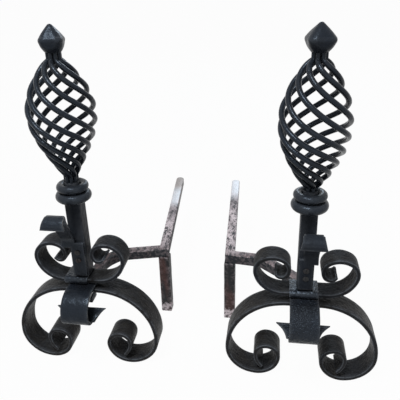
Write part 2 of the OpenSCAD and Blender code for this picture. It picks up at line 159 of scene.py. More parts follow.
# What differs between the andirons: kind, name, description, the left one's value, the right one's.
SIDE_FIELDS = {
    "scroll_flat": (length, "Scroll flat", "Half length of the scroll's flat bottom", 25.5, 30),
    "scroll_r2": (length, "Scroll outer shoulder", "Radius of the outer shoulder", 24, 19.5),
    "curl_share": (share, "Scroll curl size", "Size of the scroll's inner curls", 0.9, 1.0),
    "collar_w": (length, "Collar length", "Length of the collar along the bar", 35, 40),
    "collar_out": (signed, "Collar offset", "Offset towards the outer side", 8, -1),
    "curl_r1": (length, "Curl front radius", "Radius of the front of the front curl", 27, 28.5),
    "rods": (count, "Rods", "Number of rods in the basket", 8, 7),
    "rod_end_d": (length, "Rod end diameter", "Diameter of a rod at its thin ends", 5.2, 5.6),
    "rod_foot": (length, "Rod foot", "Length of a rod's straight foot", 9, 6),
    "rod_head": (length, "Rod head", "Length of a rod's straight head", 8.5, 8),
    "belly_at": (share, "Belly place", "Share of its height at which it is widest", 0.56, 0.52),
    "belly_power": (share, "Belly roundness", "More is more pointed", 0.90, 0.82),
    "twist": (degrees, "Twist", "Twist of the basket, clockwise from above", 344, 400),
    "twist_low": (share, "Faster foot", "Share by which its lower half twists faster", 0.13, 0.21),
    "phase": (degrees, "Start angle", "Start angle of the first rod", 22, 34),
    "finial_w": (length, "Finial width", "Width of the finial across its flats", 30.5, 33.4),
    "plate_h": (length, "Plate height", "Height of the plate", 55, 49),
    "screw_low": (length, "Lower screw", "Its height above the plate's foot", 26.5, 18.5),
    "hook_lean": (degrees, "Hook lean", "Forward lean of the hook", 39, 42),
    "hook_root": (length, "Hook root offset", "Offset towards the outer side", 14, 6),
    "root": (length, "Bar root", "Straight root behind the post axis", 58, 30),
    "turn": (degrees, "Bar turn", "Turn away from the root", 38, 48),
    "slant": (length, "Bar slant", "Length of the slanting stretch", 8, 52),
    "square": (degrees, "Bar square", "Turn into the cross run", 37, 35),
    "reach": (length, "Bar reach", "Distance of the corner from the post axis", 93.5, 114),
    "run": (length, "Bar run", "Length of the run behind the corner", 301.9, 302.9),
    "lean": (degrees, "Bar lean", "Lean of the run towards the outer side", 5, -2.5),
    "post_side": (degrees, "Post side lean", "Lean of post and basket to the left", 0.37, 0.58),
    "post_back": (degrees, "Post back lean", "Lean of post and basket to the back", 0.46, 0.63),
}


def side_sizes(name, place):
    """A property group for one andiron: place is 0 for the left one and 1 for the right."""
    fields = {key: make(label, text, both[place])
              for key, (make, label, text, *both) in SIDE_FIELDS.items()}
    return type(name, (bpy.types.PropertyGroup,),
                {"__doc__": "Sizes of one andiron.", "__annotations__": fields})


LeftAndironSizes = side_sizes("LeftAndironSizes", 0)
RightAndironSizes = side_sizes("RightAndironSizes", 1)


class AndironFinish(bpy.types.PropertyGroup):
    """Colours of the paint, the scale and the floor."""

    black: colour("Stove black", "The cool black paint on the fittings", (0.0170, 0.0203, 0.0265))
    warm_black: colour("Warm black", "The browner paint on the arches", (0.0215, 0.0188, 0.0162))
    # Painted highlight as well as wear: this lighter iron on worn edges also stands in for the thin
    # light lines that edges catch.
    rubbed_and_highlit: colour("Rubbed edge", "Iron that shows where an edge is rubbed", (0.115, 0.12, 0.13))
    slate: colour("Slate scale", "Fire scale on the bars' sides", (0.015, 0.017, 0.021))
    rust: colour("Rust", "Rust on the log bars and legs", (0.095, 0.042, 0.036))
    ash: colour("Ash", "Pale scale on the top of the log bars", (0.84, 0.71, 0.71))
    scorched: colour("Scorched iron", "The left log bar's brownish tip", (0.27, 0.225, 0.195))
    # Painted reflection as well as bare iron: the far end is paler to stand in for the bright
    # surroundings mirrored on its grazing top.
    bright: colour("Bright iron", "Bare iron at the bar's far end", (0.70, 0.71, 0.73))
    floor: colour("Floor", "The studio floor", (0.55, 0.55, 0.55))


def sizes():
    return bpy.context.scene.andiron_sizes


def own(side):
    """The sizes that belong to one andiron alone."""
    return getattr(bpy.context.scene, f"{side}_andiron_sizes")


def tint(name, part=1.0):
    """A colour of the finish, or a darker part of it."""
    return tuple(part * c for c in getattr(bpy.context.scene.andiron_finish, name))


def axis(side):
    """The foot of a post's axis, from the packed post."""
    lo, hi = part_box(f"{side}_post")
    return Vector(((lo[0] + hi[0]) / 2, (lo[1] + hi[1]) / 2, 0.0))


def stack():
    """Heights from the floor up, as the pieces stand on each other."""
    s = sizes()
    h = SimpleNamespace()
    h.arch = s.arch_r1 + s.arch_r2 + s.arch_t / 2
    h.bar_top = h.arch - s.arch_t / 2
    h.curl = h.arch + s.arch_t / 2 + s.curl_t / 2
    h.collar = h.curl + s.curl_t / 2
    h.scroll = h.collar + s.collar_t + s.fit_gap + s.scroll_t / 2
    h.collar_top = h.collar + 2 * s.collar_t + s.scroll_t + 2 * s.fit_gap
    h.post_top = h.collar_top + s.post_h
    h.neck_top = h.post_top + s.neck_h
    h.finial = h.neck_top + s.basket_h
    h.nut = h.bar_top - s.bar_w - s.nut_h
    h.ring_low_r = s.neck_d / 2 + s.fit_gap + s.ring_low_bar / 2
    h.ring_up_r = s.neck_d / 2 + s.fit_gap + s.ring_up_bar / 2
    h.ring_low = h.post_top + s.ring_low_bar / 2 + s.fit_gap
    touch = (s.ring_low_bar + s.ring_up_bar) / 2 + s.fit_gap
    h.ring_up = h.ring_low + math.sqrt(touch ** 2 - (h.ring_low_r - h.ring_up_r) ** 2)
    plate_gap = 2.5 * MM
    h.plate = h.collar_top + plate_gap
    return h


def peg_radius(side):
    """The peg fills the middle between the rods' ends."""
    return sizes().neck_d / 2 - own(side).rod_end_d - 2 * sizes().fit_gap


# ---- Centre lines of bent bars --------------------------------------------------------------


def bent(start, heading, steps, fine=3.0, stride=4 * MM):
    """Points (x, y, heading in degrees) of a bar's centre line.

    A step is (0, length) or (radius, turn). Arcs have a point at least every fine degrees and
    straight stretches every stride metres.
    """
    x, y = start
    line = [(x, y, heading)]
    for radius, amount in steps:
        a = math.radians(heading)
        if radius == 0:
            n = max(1, math.ceil(abs(amount) / stride))
            for i in range(1, n + 1):
                d = amount * i / n
                line.append((x + d * math.cos(a), y + d * math.sin(a), heading))
        else:
            n = max(2, math.ceil(abs(amount) / fine))
            r = math.copysign(radius, amount)
            cx, cy = x - r * math.sin(a), y + r * math.cos(a)
            for i in range(1, n + 1):
                b = math.radians(heading + amount * i / n)
                line.append((cx + r * math.sin(b), cy - r * math.cos(b), heading + amount * i / n))
            heading += amount
        x, y = line[-1][:2]
    return np.array(line)


def straight_up(x, low, high, points):
    """A centre line that rises straight up at x."""
    levels = np.linspace(low, high, points)
    return np.stack([x + 0 * levels, levels, 90 + 0 * levels], 1)


def both_ways(half):
    """A bar bent alike to both sides of x = 0, from its right half."""
    mirrored = half[::-1].copy()
    mirrored[:, 0] *= -1
    mirrored[:, 2] *= -1
    return np.vstack([mirrored[:-1], half])


def drawn_out(line, thickness, lost=0.35):
    """Thickness along a bar that thins over the outer tenth of each half."""
    tenth = 0.1
    stretches = np.linalg.norm(np.diff(line[:, :2], axis=0), axis=1)
    travelled = np.concatenate([[0.0], np.cumsum(stretches)])
    from_middle = np.abs(2 * (travelled / travelled[-1]) - 1)
    return thickness * (1 - lost * np.clip((from_middle - (1 - tenth)) / tenth, 0, 1))


# ---- Meshes ---------------------------------------------------------------------------------


def linked(name, data):
    """A new object in the scene that holds a mesh, lamp or camera."""
    obj = bpy.data.objects.new(name, data)
    bpy.context.scene.collection.objects.link(obj)
    return obj


def from_shape(name, shape):
    """An object from a bmesh, which is used up."""
    mesh = bpy.data.meshes.new(name)
    shape.to_mesh(mesh)
    shape.free()
    return linked(name, mesh)


def discard(obj):
    """Removes an object and its mesh."""
    mesh = obj.data
    bpy.data.objects.remove(obj)
    bpy.data.meshes.remove(mesh)


def new_mesh(name, vertices, faces):
    """A mesh object whose faces point outwards."""
    mesh = bpy.data.meshes.new(name)
    mesh.from_pydata([tuple(v) for v in vertices], [], faces)
    shape = bmesh.new()
    shape.from_mesh(mesh)
    bmesh.ops.recalc_face_normals(shape, faces=shape.faces)
    shape.to_mesh(mesh)
    shape.free()
    return linked(name, mesh)


def tube_faces(rings, around, closed=False):
    """Faces between rings of points; an open tube gets a cap at each end."""
    faces = []
    for i in range(rings if closed else rings - 1):
        here, there = i * around, (i + 1) % rings * around
        faces += [(here + q, here + (q + 1) % around, there + (q + 1) % around, there + q)
                  for q in range(around)]
    if not closed:
        faces += [tuple(range(around)), tuple((rings - 1) * around + q for q in range(around))]
    return faces


def rounded_section(wide_steps, corner_steps=3):
    """Points round a bar's section as (side a, side b, corner a, corner b)."""
    made = []
    corners = ((1, 1, 0), (-1, 1, 90), (-1, -1, 180), (1, -1, 270))
    for k, (sa, sb, turn) in enumerate(corners):
        for i in range(corner_steps + 1):
            a = math.radians(turn + 90 * i / corner_steps)
            made.append((sa, sb, math.cos(a), math.sin(a)))
        wide = sa == corners[(k + 1) % 4][0]
        steps = wide_steps if wide else 2
        for i in range(1, steps):
            f = -1 + 2 * i / steps
            made.append((sa, sb * -f, sa, 0.0) if wide else (sa * -f, sb, 0.0, sb))
    return np.array(made)


def strap(name, points, normals, across, width, thickness, corner=1.1 * MM, wide_steps=6):
    """Sweeps a round-cornered flat bar along points, with round-edged ends."""
    width, thickness = (np.broadcast_to(v, len(points)) for v in (width, thickness))
    section = rounded_section(wide_steps)
    least_corner = 0.12 * MM
    rings = []

    def ring(i, shrink=0.0, shift=0.0):
        r = max(corner - shrink, least_corner)
        a = section[:, 0] * (thickness[i] / 2 - shrink - r) + r * section[:, 2]
        b = section[:, 1] * (width[i] / 2 - shrink - r) + r * section[:, 3]
        rings.append(points[i] + shift + np.outer(a, normals[i]) + np.outer(b, across[i]))

    tangent = np.gradient(points, axis=0)
    tangent /= np.linalg.norm(tangent, axis=1, keepdims=True)
    turns = [math.radians(f) for f in (30, 60, 90)]
    for f in reversed(turns):
        ring(0, corner * (1 - math.cos(f)), tangent[0] * corner * (1 - math.sin(f)))
    for i in range(1, len(points) - 1):
        ring(i)
    for f in turns:
        ring(-1, corner * (1 - math.cos(f)), -tangent[-1] * corner * (1 - math.sin(f)))
    return new_mesh(name, np.vstack(rings), tube_faces(len(rings), len(section)))


def upright_strap(name, line, foot, width, thickness, **more):
    """A strap bent in X and Z, with its width along Y."""
    a = np.radians(line[:, 2])
    points = np.array(foot) + np.stack([line[:, 0], 0 * a, line[:, 1]], 1)
    normals = np.stack([-np.sin(a), 0 * a, np.cos(a)], 1)
    across = np.tile((0.0, 1.0, 0.0), (len(a), 1))
    return strap(name, points, normals, across, width, thickness, **more)


def forward_strap(name, line, foot, width, thickness, sideways=0.0, **more):
    """A strap bent in a forward plane, -Y and Z, with its width along X."""
    a = np.radians(line[:, 2])
    beside = np.broadcast_to(sideways, a.shape)
    points = np.array(foot) + np.stack([beside, -line[:, 0], line[:, 1]], 1)
    normals = np.stack([0 * a, np.sin(a), np.cos(a)], 1)
    across = np.tile((1.0, 0.0, 0.0), (len(a), 1))
    return strap(name, points, normals, across, width, thickness, **more)


def square_reach(half, corner, angle):
    """Distance from the middle of a round-cornered square to its edge, at an angle from x."""
    c, s = abs(math.cos(angle)), abs(math.sin(angle))
    c, s = max(c, s), min(c, s)
    k = half - corner
    if half * s / c < k:
        return half / c
    d = k * (c + s)
    return d + math.sqrt(max(0.0, d * d - 2 * k * k + corner * corner))


def lathe(name, profile, foot, steps=64, turn=0.0):
    """Turns (radius, height) points round an upright axis.

    A third number squares the section, with that corner radius.
    """
    vertices = []
    for r, z, *corner in profile:
        for k in range(steps):
            a = 2 * math.pi * k / steps
            reach = square_reach(r, min(corner[0], r), a) if corner else r
            vertices.append((foot[0] + reach * math.cos(a + turn),
                             foot[1] + reach * math.sin(a + turn), foot[2] + z))
    return new_mesh(name, vertices, tube_faces(len(profile), steps))


def sleeve(name, middle, long, outside, inside, ease):
    """A rounded box with a hole right through along X.

    The outside and the inside are (depth, height, corner radius).
    """
    section = rounded_section(8, corner_steps=8)

    def loop(x, size, shrink=0.0):
        depth, height, r = (size[0] - 2 * shrink, size[1] - 2 * shrink, size[2] - shrink)
        return np.stack([np.full(len(section), middle[0] + x),
                         middle[1] + section[:, 1] * (depth / 2 - r) + r * section[:, 3],
                         middle[2] + section[:, 0] * (height / 2 - r) + r * section[:, 2]], 1)

    half, slices = long / 2, 16
    turns = [(ease * math.sin(math.radians(f)), ease * (1 - math.cos(math.radians(f))))
             for f in (0, 30, 60, 90)]
    rings = [loop(-half + ease - x, outside, shrink) for x, shrink in reversed(turns)]
    rings += [loop(x, outside) for x in np.linspace(ease - half, half - ease, slices)[1:-1]]
    rings += [loop(half - ease + x, outside, shrink) for x, shrink in turns]
    rings += [loop(half, inside), loop(-half, inside)]
    return new_mesh(name, np.vstack(rings), tube_faces(len(rings), len(section), closed=True))


def ring_mesh(name, centre, radius, bar):
    """A closed ring of round bar."""
    turns, sides = 96, 28
    vertices = []
    for i in range(turns):
        a = 2 * math.pi * i / turns
        for k in range(sides):
            b = 2 * math.pi * k / sides
            r = radius + bar / 2 * math.cos(b)
            vertices.append((centre[0] + r * math.cos(a), centre[1] + r * math.sin(a),
                             centre[2] + bar / 2 * math.sin(b)))
    faces = [face[:1] + face[:0:-1] for face in tube_faces(turns, sides, closed=True)]
    return new_mesh(name, vertices, faces)


def eased_plate(name, outline, low, high, ease):
    """A flat piece drawn from above and lifted from low to high, with its sharp edges eased."""
    sharp_angle = math.radians(35)
    shape = bmesh.new()
    face = shape.faces.new([shape.verts.new((x, y, low)) for x, y in outline])
    lifted = bmesh.ops.extrude_face_region(shape, geom=[face])
    for v in lifted["geom"]:
        if isinstance(v, bmesh.types.BMVert):
            v.co.z = high
    bmesh.ops.recalc_face_normals(shape, faces=shape.faces)
    sharp = [e for e in shape.edges if e.calc_face_angle(0.0) > sharp_angle]
    bmesh.ops.bevel(shape, geom=sharp, offset=ease, segments=3, profile=0.5, affect="EDGES",
                    clamp_overlap=True)
    bmesh.ops.triangulate(shape, faces=[f for f in shape.faces if len(f.verts) > 4])
    return from_shape(name, shape)


def joined(name, *objects):
    """One object from several, with their meshes at their places."""
    whole = bmesh.new()
    for obj in objects:
        whole.from_mesh(obj.data)
    obj = from_shape(name, whole)
    for spare in objects:
        discard(spare)
    return obj


# ---- Finishing a piece ----------------------------------------------------------------------


def hammered(obj, depth, size, seed):
    """Sinks the surface unevenly, by up to depth, as hammer work leaves it. It never grows."""
    mesh = obj.data
    offset = Vector((seed, 1.7 * seed, 0.3 * seed))
    normals = [Vector(n.vector) for n in mesh.vertex_normals]
    for v, n in zip(mesh.vertices, normals):
        v.co -= n * depth * (0.5 + 0.5 * noise.noise(v.co / size + offset))
    mesh.update()


def store(obj, name, values):
    """Stores a number for each point of the mesh."""
    layer = obj.data.attributes.new(name, "FLOAT", "POINT")
    layer.data.foreach_set("value", np.asarray(values, np.float32))


def mark_edges(obj, gain=42.0):
    """Stores how sharp the surface is at each point, for the rubbed edges."""
    mesh = obj.data
    marks = np.zeros(len(mesh.vertices))
    normals = np.array([n.vector[:] for n in mesh.vertex_normals])
    for face in mesh.polygons:
        n = np.array(face.normal[:])
        for v in face.vertices:
            marks[v] = max(marks[v], 1.0 - float(normals[v] @ n))
    store(obj, "edge", np.clip(marks * gain, 0, 1))


def leaned(obj, side):
    """Leans what stands above the collar as the post leans, and leaves what lies below it."""
    foot = stack().collar_top
    left, back = math.tan(own(side).post_side), math.tan(own(side).post_back)
    for v in obj.data.vertices:
        rise = max(0.0, v.co.z - foot)
        v.co.x -= rise * left
        v.co.y += rise * back
    obj.data.update()


def settle(obj, side, nodes, paint):
    """Paints a piece, puts it on its body and slot, and checks that it lies by its node."""
    most_stray = 6 * MM
    obj.data.materials.clear()
    obj.data.materials.append(finish(paint))
    obj.data.shade_smooth()
    lows, highs = zip(*(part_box(n) for n in nodes))
    low, high = np.min(lows, 0), np.max(highs, 0)
    made = np.array([v.co[:] for v in obj.data.vertices])
    stray = max(float(np.max(low - made.min(0))), float(np.max(made.max(0) - high)))
    if stray > most_stray:
        raise RuntimeError(f"{obj.name} reaches {stray / MM:.1f} mm outside {nodes[0]}")
    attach(obj, f"{side}_andiron")
    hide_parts(*nodes)


# Depth and size in metres of each part's hammer marks, and a number that sets their pattern.
HAMMER_MARKS = {
    "arch": (0.35 * MM, 0.014, 3.1),
    "upper_scroll": (0.35 * MM, 0.013, 5.3),
    "collar": (0.3 * MM, 0.009, 7.7),
    "front_curl": (0.4 * MM, 0.011, 2.9),
    "post": (0.25 * MM, 0.02, 1.3),
    "finial": (0.35 * MM, 0.012, 6.1),
    "hook": (0.3 * MM, 0.010, 4.3),
    "leg": (0.4 * MM, 0.015, 8.8),
}


def forged(obj, side, part, paint, leans=False):
    """Finishes a piece that stands for the CAD node of its part: marks, rubbed edges and lean."""
    depth, size, seed = HAMMER_MARKS[part]
    hammered(obj, depth, size, seed * OUTER[side])
    mark_edges(obj)
    if leans:
        leaned(obj, side)
    settle(obj, side, [f"{side}_{part}"], paint)


# ---- Node trees -----------------------------------------------------------------------------


class Wire:
    """A socket that takes Python's arithmetic; each operation adds a Math node."""

    def __init__(self, tree, socket):
        self.tree, self.socket = tree, socket

    def math(self, operation, *others, clamp=False):
        node = self.tree.nodes.new("ShaderNodeMath")
        node.operation, node.use_clamp = operation, clamp
        for place, value in enumerate((self, *others)):
            plug(self.tree, node.inputs[place], value)
        return Wire(self.tree, node.outputs[0])

    def lifted(self, value):
        """A plain number as a wire, for the reflected operations."""
        node = self.tree.nodes.new("ShaderNodeValue")
        node.outputs[0].default_value = value
        return Wire(self.tree, node.outputs[0])

    def __add__(self, other): return self.math("ADD", other)
    def __radd__(self, other): return self.math("ADD", other)
    def __sub__(self, other): return self.math("SUBTRACT", other)
    def __rsub__(self, other): return self.lifted(other).math("SUBTRACT", self)
    def __mul__(self, other): return self.math("MULTIPLY", other)
    def __rmul__(self, other): return self.math("MULTIPLY", other)
    def __truediv__(self, other): return self.math("DIVIDE", other)
    def __rtruediv__(self, other): return self.lifted(other).math("DIVIDE", self)
    def __pow__(self, other): return self.math("POWER", other)

    def clamp(self): return self.math("ADD", 0.0, clamp=True)
    def sin(self): return self.math("SINE")
    def cos(self): return self.math("COSINE")
    def least(self, other): return self.math("MINIMUM", other)
    def most(self, other): return self.math("MAXIMUM", other)

    def rise(self, low, high):
        """0 below low, 1 above high and straight between."""
        return ((self - low) / (high - low)).clamp()


def plug(tree, socket, value):
    """Links a wire to a socket, or sets the socket to a plain value."""
    if isinstance(value, Wire):
        tree.links.new(value.socket, socket)
    elif value is not None:
        socket.default_value = value


class Bench:
    """Adds nodes to one tree."""

    def __init__(self, tree):
        self.tree = tree

    def node(self, kind, settings=None, inputs=None):
        """Adds a node: settings are its properties, inputs its sockets' values or wires."""
        node = self.tree.nodes.new(kind)
        for name, value in (settings or {}).items():
            setattr(node, name, value)
        for name, value in (inputs or {}).items():
            plug(self.tree, node.inputs[name], value)
        return node

    def out(self, node, name=0):
        return Wire(self.tree, node.outputs[name])

    def value(self, kind, settings=None, inputs=None, out=0):
        """Adds a node and returns one of its outputs as a wire."""
        return self.out(self.node(kind, settings, inputs), out)

    def split(self, vector):
        node = self.node("ShaderNodeSeparateXYZ", None, {0: vector})
        return [self.out(node, k) for k in range(3)]

    def joined(self, x, y, z):
        return self.value("ShaderNodeCombineXYZ", None, {0: x, 1: y, 2: z})


# ---- Paint and scale ------------------------------------------------------------------------


class Finish(Bench):
    """A material with one Principled shader, patterned in the object's own space."""

    def __init__(self, name, specular=0.3, sheen=(1.0, 1.0, 1.0)):
        self.material = bpy.data.materials.new(name)
        self.material.use_nodes = True
        super().__init__(self.material.node_tree)
        self.shader = self.tree.nodes["Principled BSDF"]
        self.shader.inputs["Specular IOR Level"].default_value = specular
        self.shader.inputs["Specular Tint"].default_value = (*sheen, 1.0)
        self.place = self.node("ShaderNodeTexCoord")
        self.point = self.out(self.place, "Object")

    def spot(self, shift, stretch=(1, 1, 1)):
        """The object's own point, moved and stretched."""
        return self.value("ShaderNodeMapping", None, {
            "Vector": self.point, "Location": (shift, shift, shift), "Scale": stretch})

    def noise(self, size, detail=2.0, roughness=0.5, shift=0.0, stretch=(1, 1, 1)):
        """Cloudy noise with features about size across."""
        return self.value("ShaderNodeTexNoise", None, {
            "Vector": self.spot(shift, stretch), "Scale": 1 / size, "Detail": detail,
            "Roughness": roughness})

    def dents(self, size, shift):
        """Shallow round dents about size across."""
        return self.value("ShaderNodeTexVoronoi", {"feature": "SMOOTH_F1"}, {
            "Vector": self.spot(shift), "Scale": 1 / size, "Smoothness": 0.8})

    def stored(self, name):
        """A number that is stored on the mesh."""
        return self.value("ShaderNodeAttribute", {"attribute_name": name}, None, "Fac")

    def mix(self, factor, first, second):
        """Mixes two colours, given as wires or as linear red, green and blue."""
        whole = [c if isinstance(c, Wire) else (*c, 1.0) for c in (first, second)]
        node = self.node("ShaderNodeMix", {"data_type": "RGBA"},
                         {0: factor, 6: whole[0], 7: whole[1]})
        return self.out(node, 2)

    def bump(self, height, distance, strength):
        node = self.node("ShaderNodeBump", None, {
            "Height": height, "Strength": strength, "Distance": distance})
        plug(self.tree, self.shader.inputs["Normal"], self.out(node))

    def done(self, base, roughness, metallic=None):
        for name, value in (("Base Color", base), ("Roughness", roughness), ("Metallic", metallic)):
            plug(self.tree, self.shader.inputs[name], value)
        return self.material


def stove_black(name, cool, shine, hammer, pits, rub_and_highlight, gloss):
    """Brushed-on stove black over forged iron.

    It runs from cool to brownish, and is dented, pitted and rubbed along its edges.
    """
    warm = 1.0 - cool
    sheen = (0.72 + 0.28 * warm, 0.85 + 0.09 * warm, 1.0 - 0.12 * warm)
    f = Finish(name, specular=gloss, sheen=sheen)
    cloud = f.noise(0.045, 3.0)
    streak = f.noise(0.012, 3.0, 0.6, 0.4)
    grain = f.noise(0.0016, 3.0, 0.65, 0.9)
    pit = f.noise(0.0034, 2.0, 0.6, 1.3)
    dent = f.dents(0.0085, 0.2)
    edge = f.stored("edge")
    black = f.mix((cloud * 1.5 - 0.25 + (cool - 0.5)).clamp(), tint("warm_black"), tint("black"))
    black = f.mix((streak.rise(0.35, 0.75) * 0.6).clamp(), black, tint("black", 0.5))
    # Painted highlight as well as wear: lighter iron in patches along the sharp edges.
    rubbed_and_highlit = (edge * streak.rise(0.30, 0.56) * rub_and_highlight).clamp()
    # Painted glints as well as bare iron: pale specks in the pits, strongest on the pitted finish.
    pit_specks_and_glints = (grain.rise(0.60, 0.74) * 0.16 * pits).clamp()
    base = f.mix(pit_specks_and_glints, f.mix(rubbed_and_highlit, black, tint("rubbed_and_highlit")), tint("rubbed_and_highlit"))
    rough = (shine + (grain - 0.5) * 0.22 + (cloud - 0.5) * 0.25
             + pit.rise(0.55, 0.7) * 0.14 * pits - rubbed_and_highlit * 0.15)
    height = dent * 0.6 * hammer + streak * 0.6 * hammer + grain * 0.2 * pits + pit * 0.9 * pits
    f.bump(height, 1.1 * MM, 1.0)
    return f.done(base, rough.clamp())


def fire_scale(name, grey, white, tip, shift):
    """The log bars: ash and rust on top, slate and rust at the sides.

    Shares of the run say where it turns dark, bright and, at the tip, brown.
    """
    f = Finish(name)
    along = f.stored("along")
    edge = f.stored("edge")
    upward = f.split(f.out(f.place, "Normal"))[2]
    drawn = (1.0, 0.42, 1.0)
    cloud = f.noise(0.022, 3.0, 0.55, shift, drawn)
    chip = f.noise(0.0065, 3.0, 0.65, 0.6 + shift, drawn)
    grain = f.noise(0.0022, 2.0, 0.7, 1.1, drawn)
    band = f.noise(0.030, 2.0, 0.5, 2.0 + shift)
    slate, rust, ash = tint("slate"), tint("rust"), tint("ash")
    brown = f.mix(chip.rise(0.40, 0.62), slate, rust)
    pale = f.mix((cloud * 0.5 + grain * 0.5).rise(0.42, 0.60), tint("ash", 0.46), ash)
    patch = f.mix((chip * 0.6 + grain * 0.4).rise(0.42, 0.52), brown, pale)
    cover = (along.rise(-0.05, 0.10) * 0.95 + band.rise(0.4, 0.7) * 0.35).clamp()
    upper = f.mix(cover, brown, patch)
    dark = along.rise(*grey) * (1.0 - along.rise(*white)) * cloud.rise(0.30, 0.55)
    upper = f.mix((dark * 0.8).clamp(), upper, slate)
    # Painted reflection and bare iron: the top turns pale silver over the far stretch.
    upper = f.mix((along.rise(*white) * (0.7 + 0.5 * cloud)).clamp(), upper, tint("bright"))
    upper = f.mix((along.rise(*tip) * (0.6 + 0.5 * chip)).clamp(), upper, tint("scorched"))
    side = f.mix(chip.rise(0.45, 0.65), slate, rust)
    side = f.mix((band.rise(0.45, 0.7) * 0.7).clamp(), slate, side)
    base = f.mix(upward.rise(0.45, 0.85), side, upper)
    base = f.mix((edge * chip.rise(0.45, 0.62) * 0.6).clamp(), base, ash)
    rough = 0.60 + (grain - 0.5) * 0.3 - along.rise(*white) * 0.18
    f.bump(chip * 0.9 + grain * 0.3 + cloud * 0.3, 0.9 * MM, 0.9)
    return f.done(base, rough.clamp(), (along.rise(*white) * 0.25).clamp())


def leg_scale(name):
    """The legs: rust brown with a dark stain down the middle and a bright, worn foot."""
    f = Finish(name, specular=0.35)
    height = f.split(f.point)[2]
    edge = f.stored("edge")
    cloud = f.noise(0.016, 3.0, 0.6, 0.0, (1.0, 1.0, 0.45))
    chip = f.noise(0.0065, 3.0, 0.7, 0.6)
    stain = f.noise(0.028, 2.0, 0.5, 3.0, (1.0, 1.0, 0.3)).rise(0.42, 0.52)
    worn_height, worn_spread, worn_fade = 0.024, 0.03, 0.006
    foot = (worn_height + (cloud - 0.5) * worn_spread - height).rise(0.0, worn_fade)
    brown = f.mix(chip.rise(0.4, 0.65), tint("rust", 0.45), tint("rust"))
    base = f.mix(stain, brown, tint("slate", 0.4))
    base = f.mix((foot * chip.rise(0.40, 0.55) * 0.95).clamp(), base, tint("ash"))
    base = f.mix((edge * chip.rise(0.45, 0.62) * 0.35).clamp(), base, tint("ash"))
    f.bump(chip * 0.8 + cloud * 0.4, 0.9 * MM, 0.9)
    return f.done(base, (0.55 + (chip - 0.5) * 0.3).clamp())


def screw_black(name):
    """Blackened slotted screws with a little rust."""
    f = Finish(name)
    blackened = (0.014, 0.014, 0.015)
    rust = f.noise(0.0035, 3.0, 0.6, 0.3).rise(0.55, 0.68)
    base = f.mix(rust * 0.4, blackened, tint("rust"))
    f.bump(f.noise(0.0012), 0.3 * MM, 0.6)
    return f.done(base, 0.42 + rust * 0.3)


# Shares of the run that the bar never reaches, for a bar without a brown tip.
PAST_THE_END = (2.0, 3.0)

# How each finish is made, and with what.
FINISHES = {
    # cool, shine, hammer, pits, rub, gloss; rub also sets the painted highlight along the edges,
    # and pits the pale specks that are partly painted glints
    "arch_black": (stove_black, 0.15, 0.38, 1.0, 1.2, 1.0, 0.06),
    "scroll_black": (stove_black, 0.35, 0.40, 1.0, 1.2, 1.0, 0.03),
    "smooth_black": (stove_black, 1.0, 0.28, 1.0, 0.4, 0.5, 0.18),
    "collar_black": (stove_black, 1.0, 0.24, 1.0, 1.0, 0.7, 0.26),
    "point_black": (stove_black, 1.0, 0.28, 0.9, 0.3, 0.5, 0.12),
    "pitted_black": (stove_black, 1.0, 0.20, 1.1, 3.0, 0.8, 0.18),
    "rod_black": (stove_black, 0.95, 0.24, 0.4, 0.3, 0.0, 0.18),
    "post_black": (stove_black, 0.8, 0.46, 0.7, 0.6, 0.5, 0.12),
    # grey, white, tip, shift; white is the rise into bare iron with its painted reflection
    "left_scale": (fire_scale, (0.33, 0.42), (0.50, 0.60), (0.76, 0.86), 1.7),
    "right_scale": (fire_scale, (0.50, 0.60), (0.66, 0.80), PAST_THE_END, 0.0),
    "leg_scale": (leg_scale,),
    "screw_black": (screw_black,),
}
made_finishes = {}


def finish(name):
    """The named finish, made once."""
    if name not in made_finishes:
        make, *choices = FINISHES[name]
        made_finishes[name] = make(name, *choices)
    return made_finishes[name]


# ---- Geometry trees -------------------------------------------------------------------------


class Growth(Bench):
    """A geometry tree with named inputs."""

    KINDS = {"float": "NodeSocketFloat", "int": "NodeSocketInt", "vector": "NodeSocketVector",
             "material": "NodeSocketMaterial"}

    def __init__(self, name, **inputs):
        super().__init__(bpy.data.node_groups.new(name, "GeometryNodeTree"))
        for key, kind in inputs.items():
            self.tree.interface.new_socket(key, in_out="INPUT", socket_type=self.KINDS[kind])
        self.tree.interface.new_socket("Geometry", in_out="OUTPUT",
                                       socket_type="NodeSocketGeometry")
        self.start = self.node("NodeGroupInput")
        self.end = self.node("NodeGroupOutput")

    def given(self, *names):
        """The tree's named inputs: one wire for one name, else a list."""
        wires = [self.out(self.start, name) for name in names]
        return wires if len(wires) > 1 else wires[0]

    def moved(self, geometry, place):
        return self.value("GeometryNodeTransform", None,
                          {"Geometry": geometry, "Translation": place})

    def turned(self, x, z):
        """A rotation by angles about X and Z."""
        return self.value("FunctionNodeEulerToRotation", None, {0: self.joined(x, 0.0, z)})

    def result(self, geometry, material):
        """Ends the tree with real geometry of one material."""
        real = self.value("GeometryNodeRealizeInstances", None, {0: geometry})
        painted = self.value("GeometryNodeSetMaterial", None,
                             {"Geometry": real, "Material": material})
        plug(self.tree, self.end.inputs[0], painted)

    def grow(self, name, **values):
        """Runs the tree and returns its result as a plain mesh object at the origin."""
        seed = linked(name, bpy.data.meshes.new(name))
        made = seed.modifiers.new("growth", "NODES")
        made.node_group = self.tree
        for item in self.tree.interface.items_tree:
            if item.item_type == "SOCKET" and item.in_out == "INPUT":
                made[item.identifier] = values[item.name]
        depsgraph = bpy.context.evaluated_depsgraph_get()
        mesh = bpy.data.meshes.new_from_object(seed.evaluated_get(depsgraph), depsgraph=depsgraph)
        discard(seed)
        return linked(name, mesh)


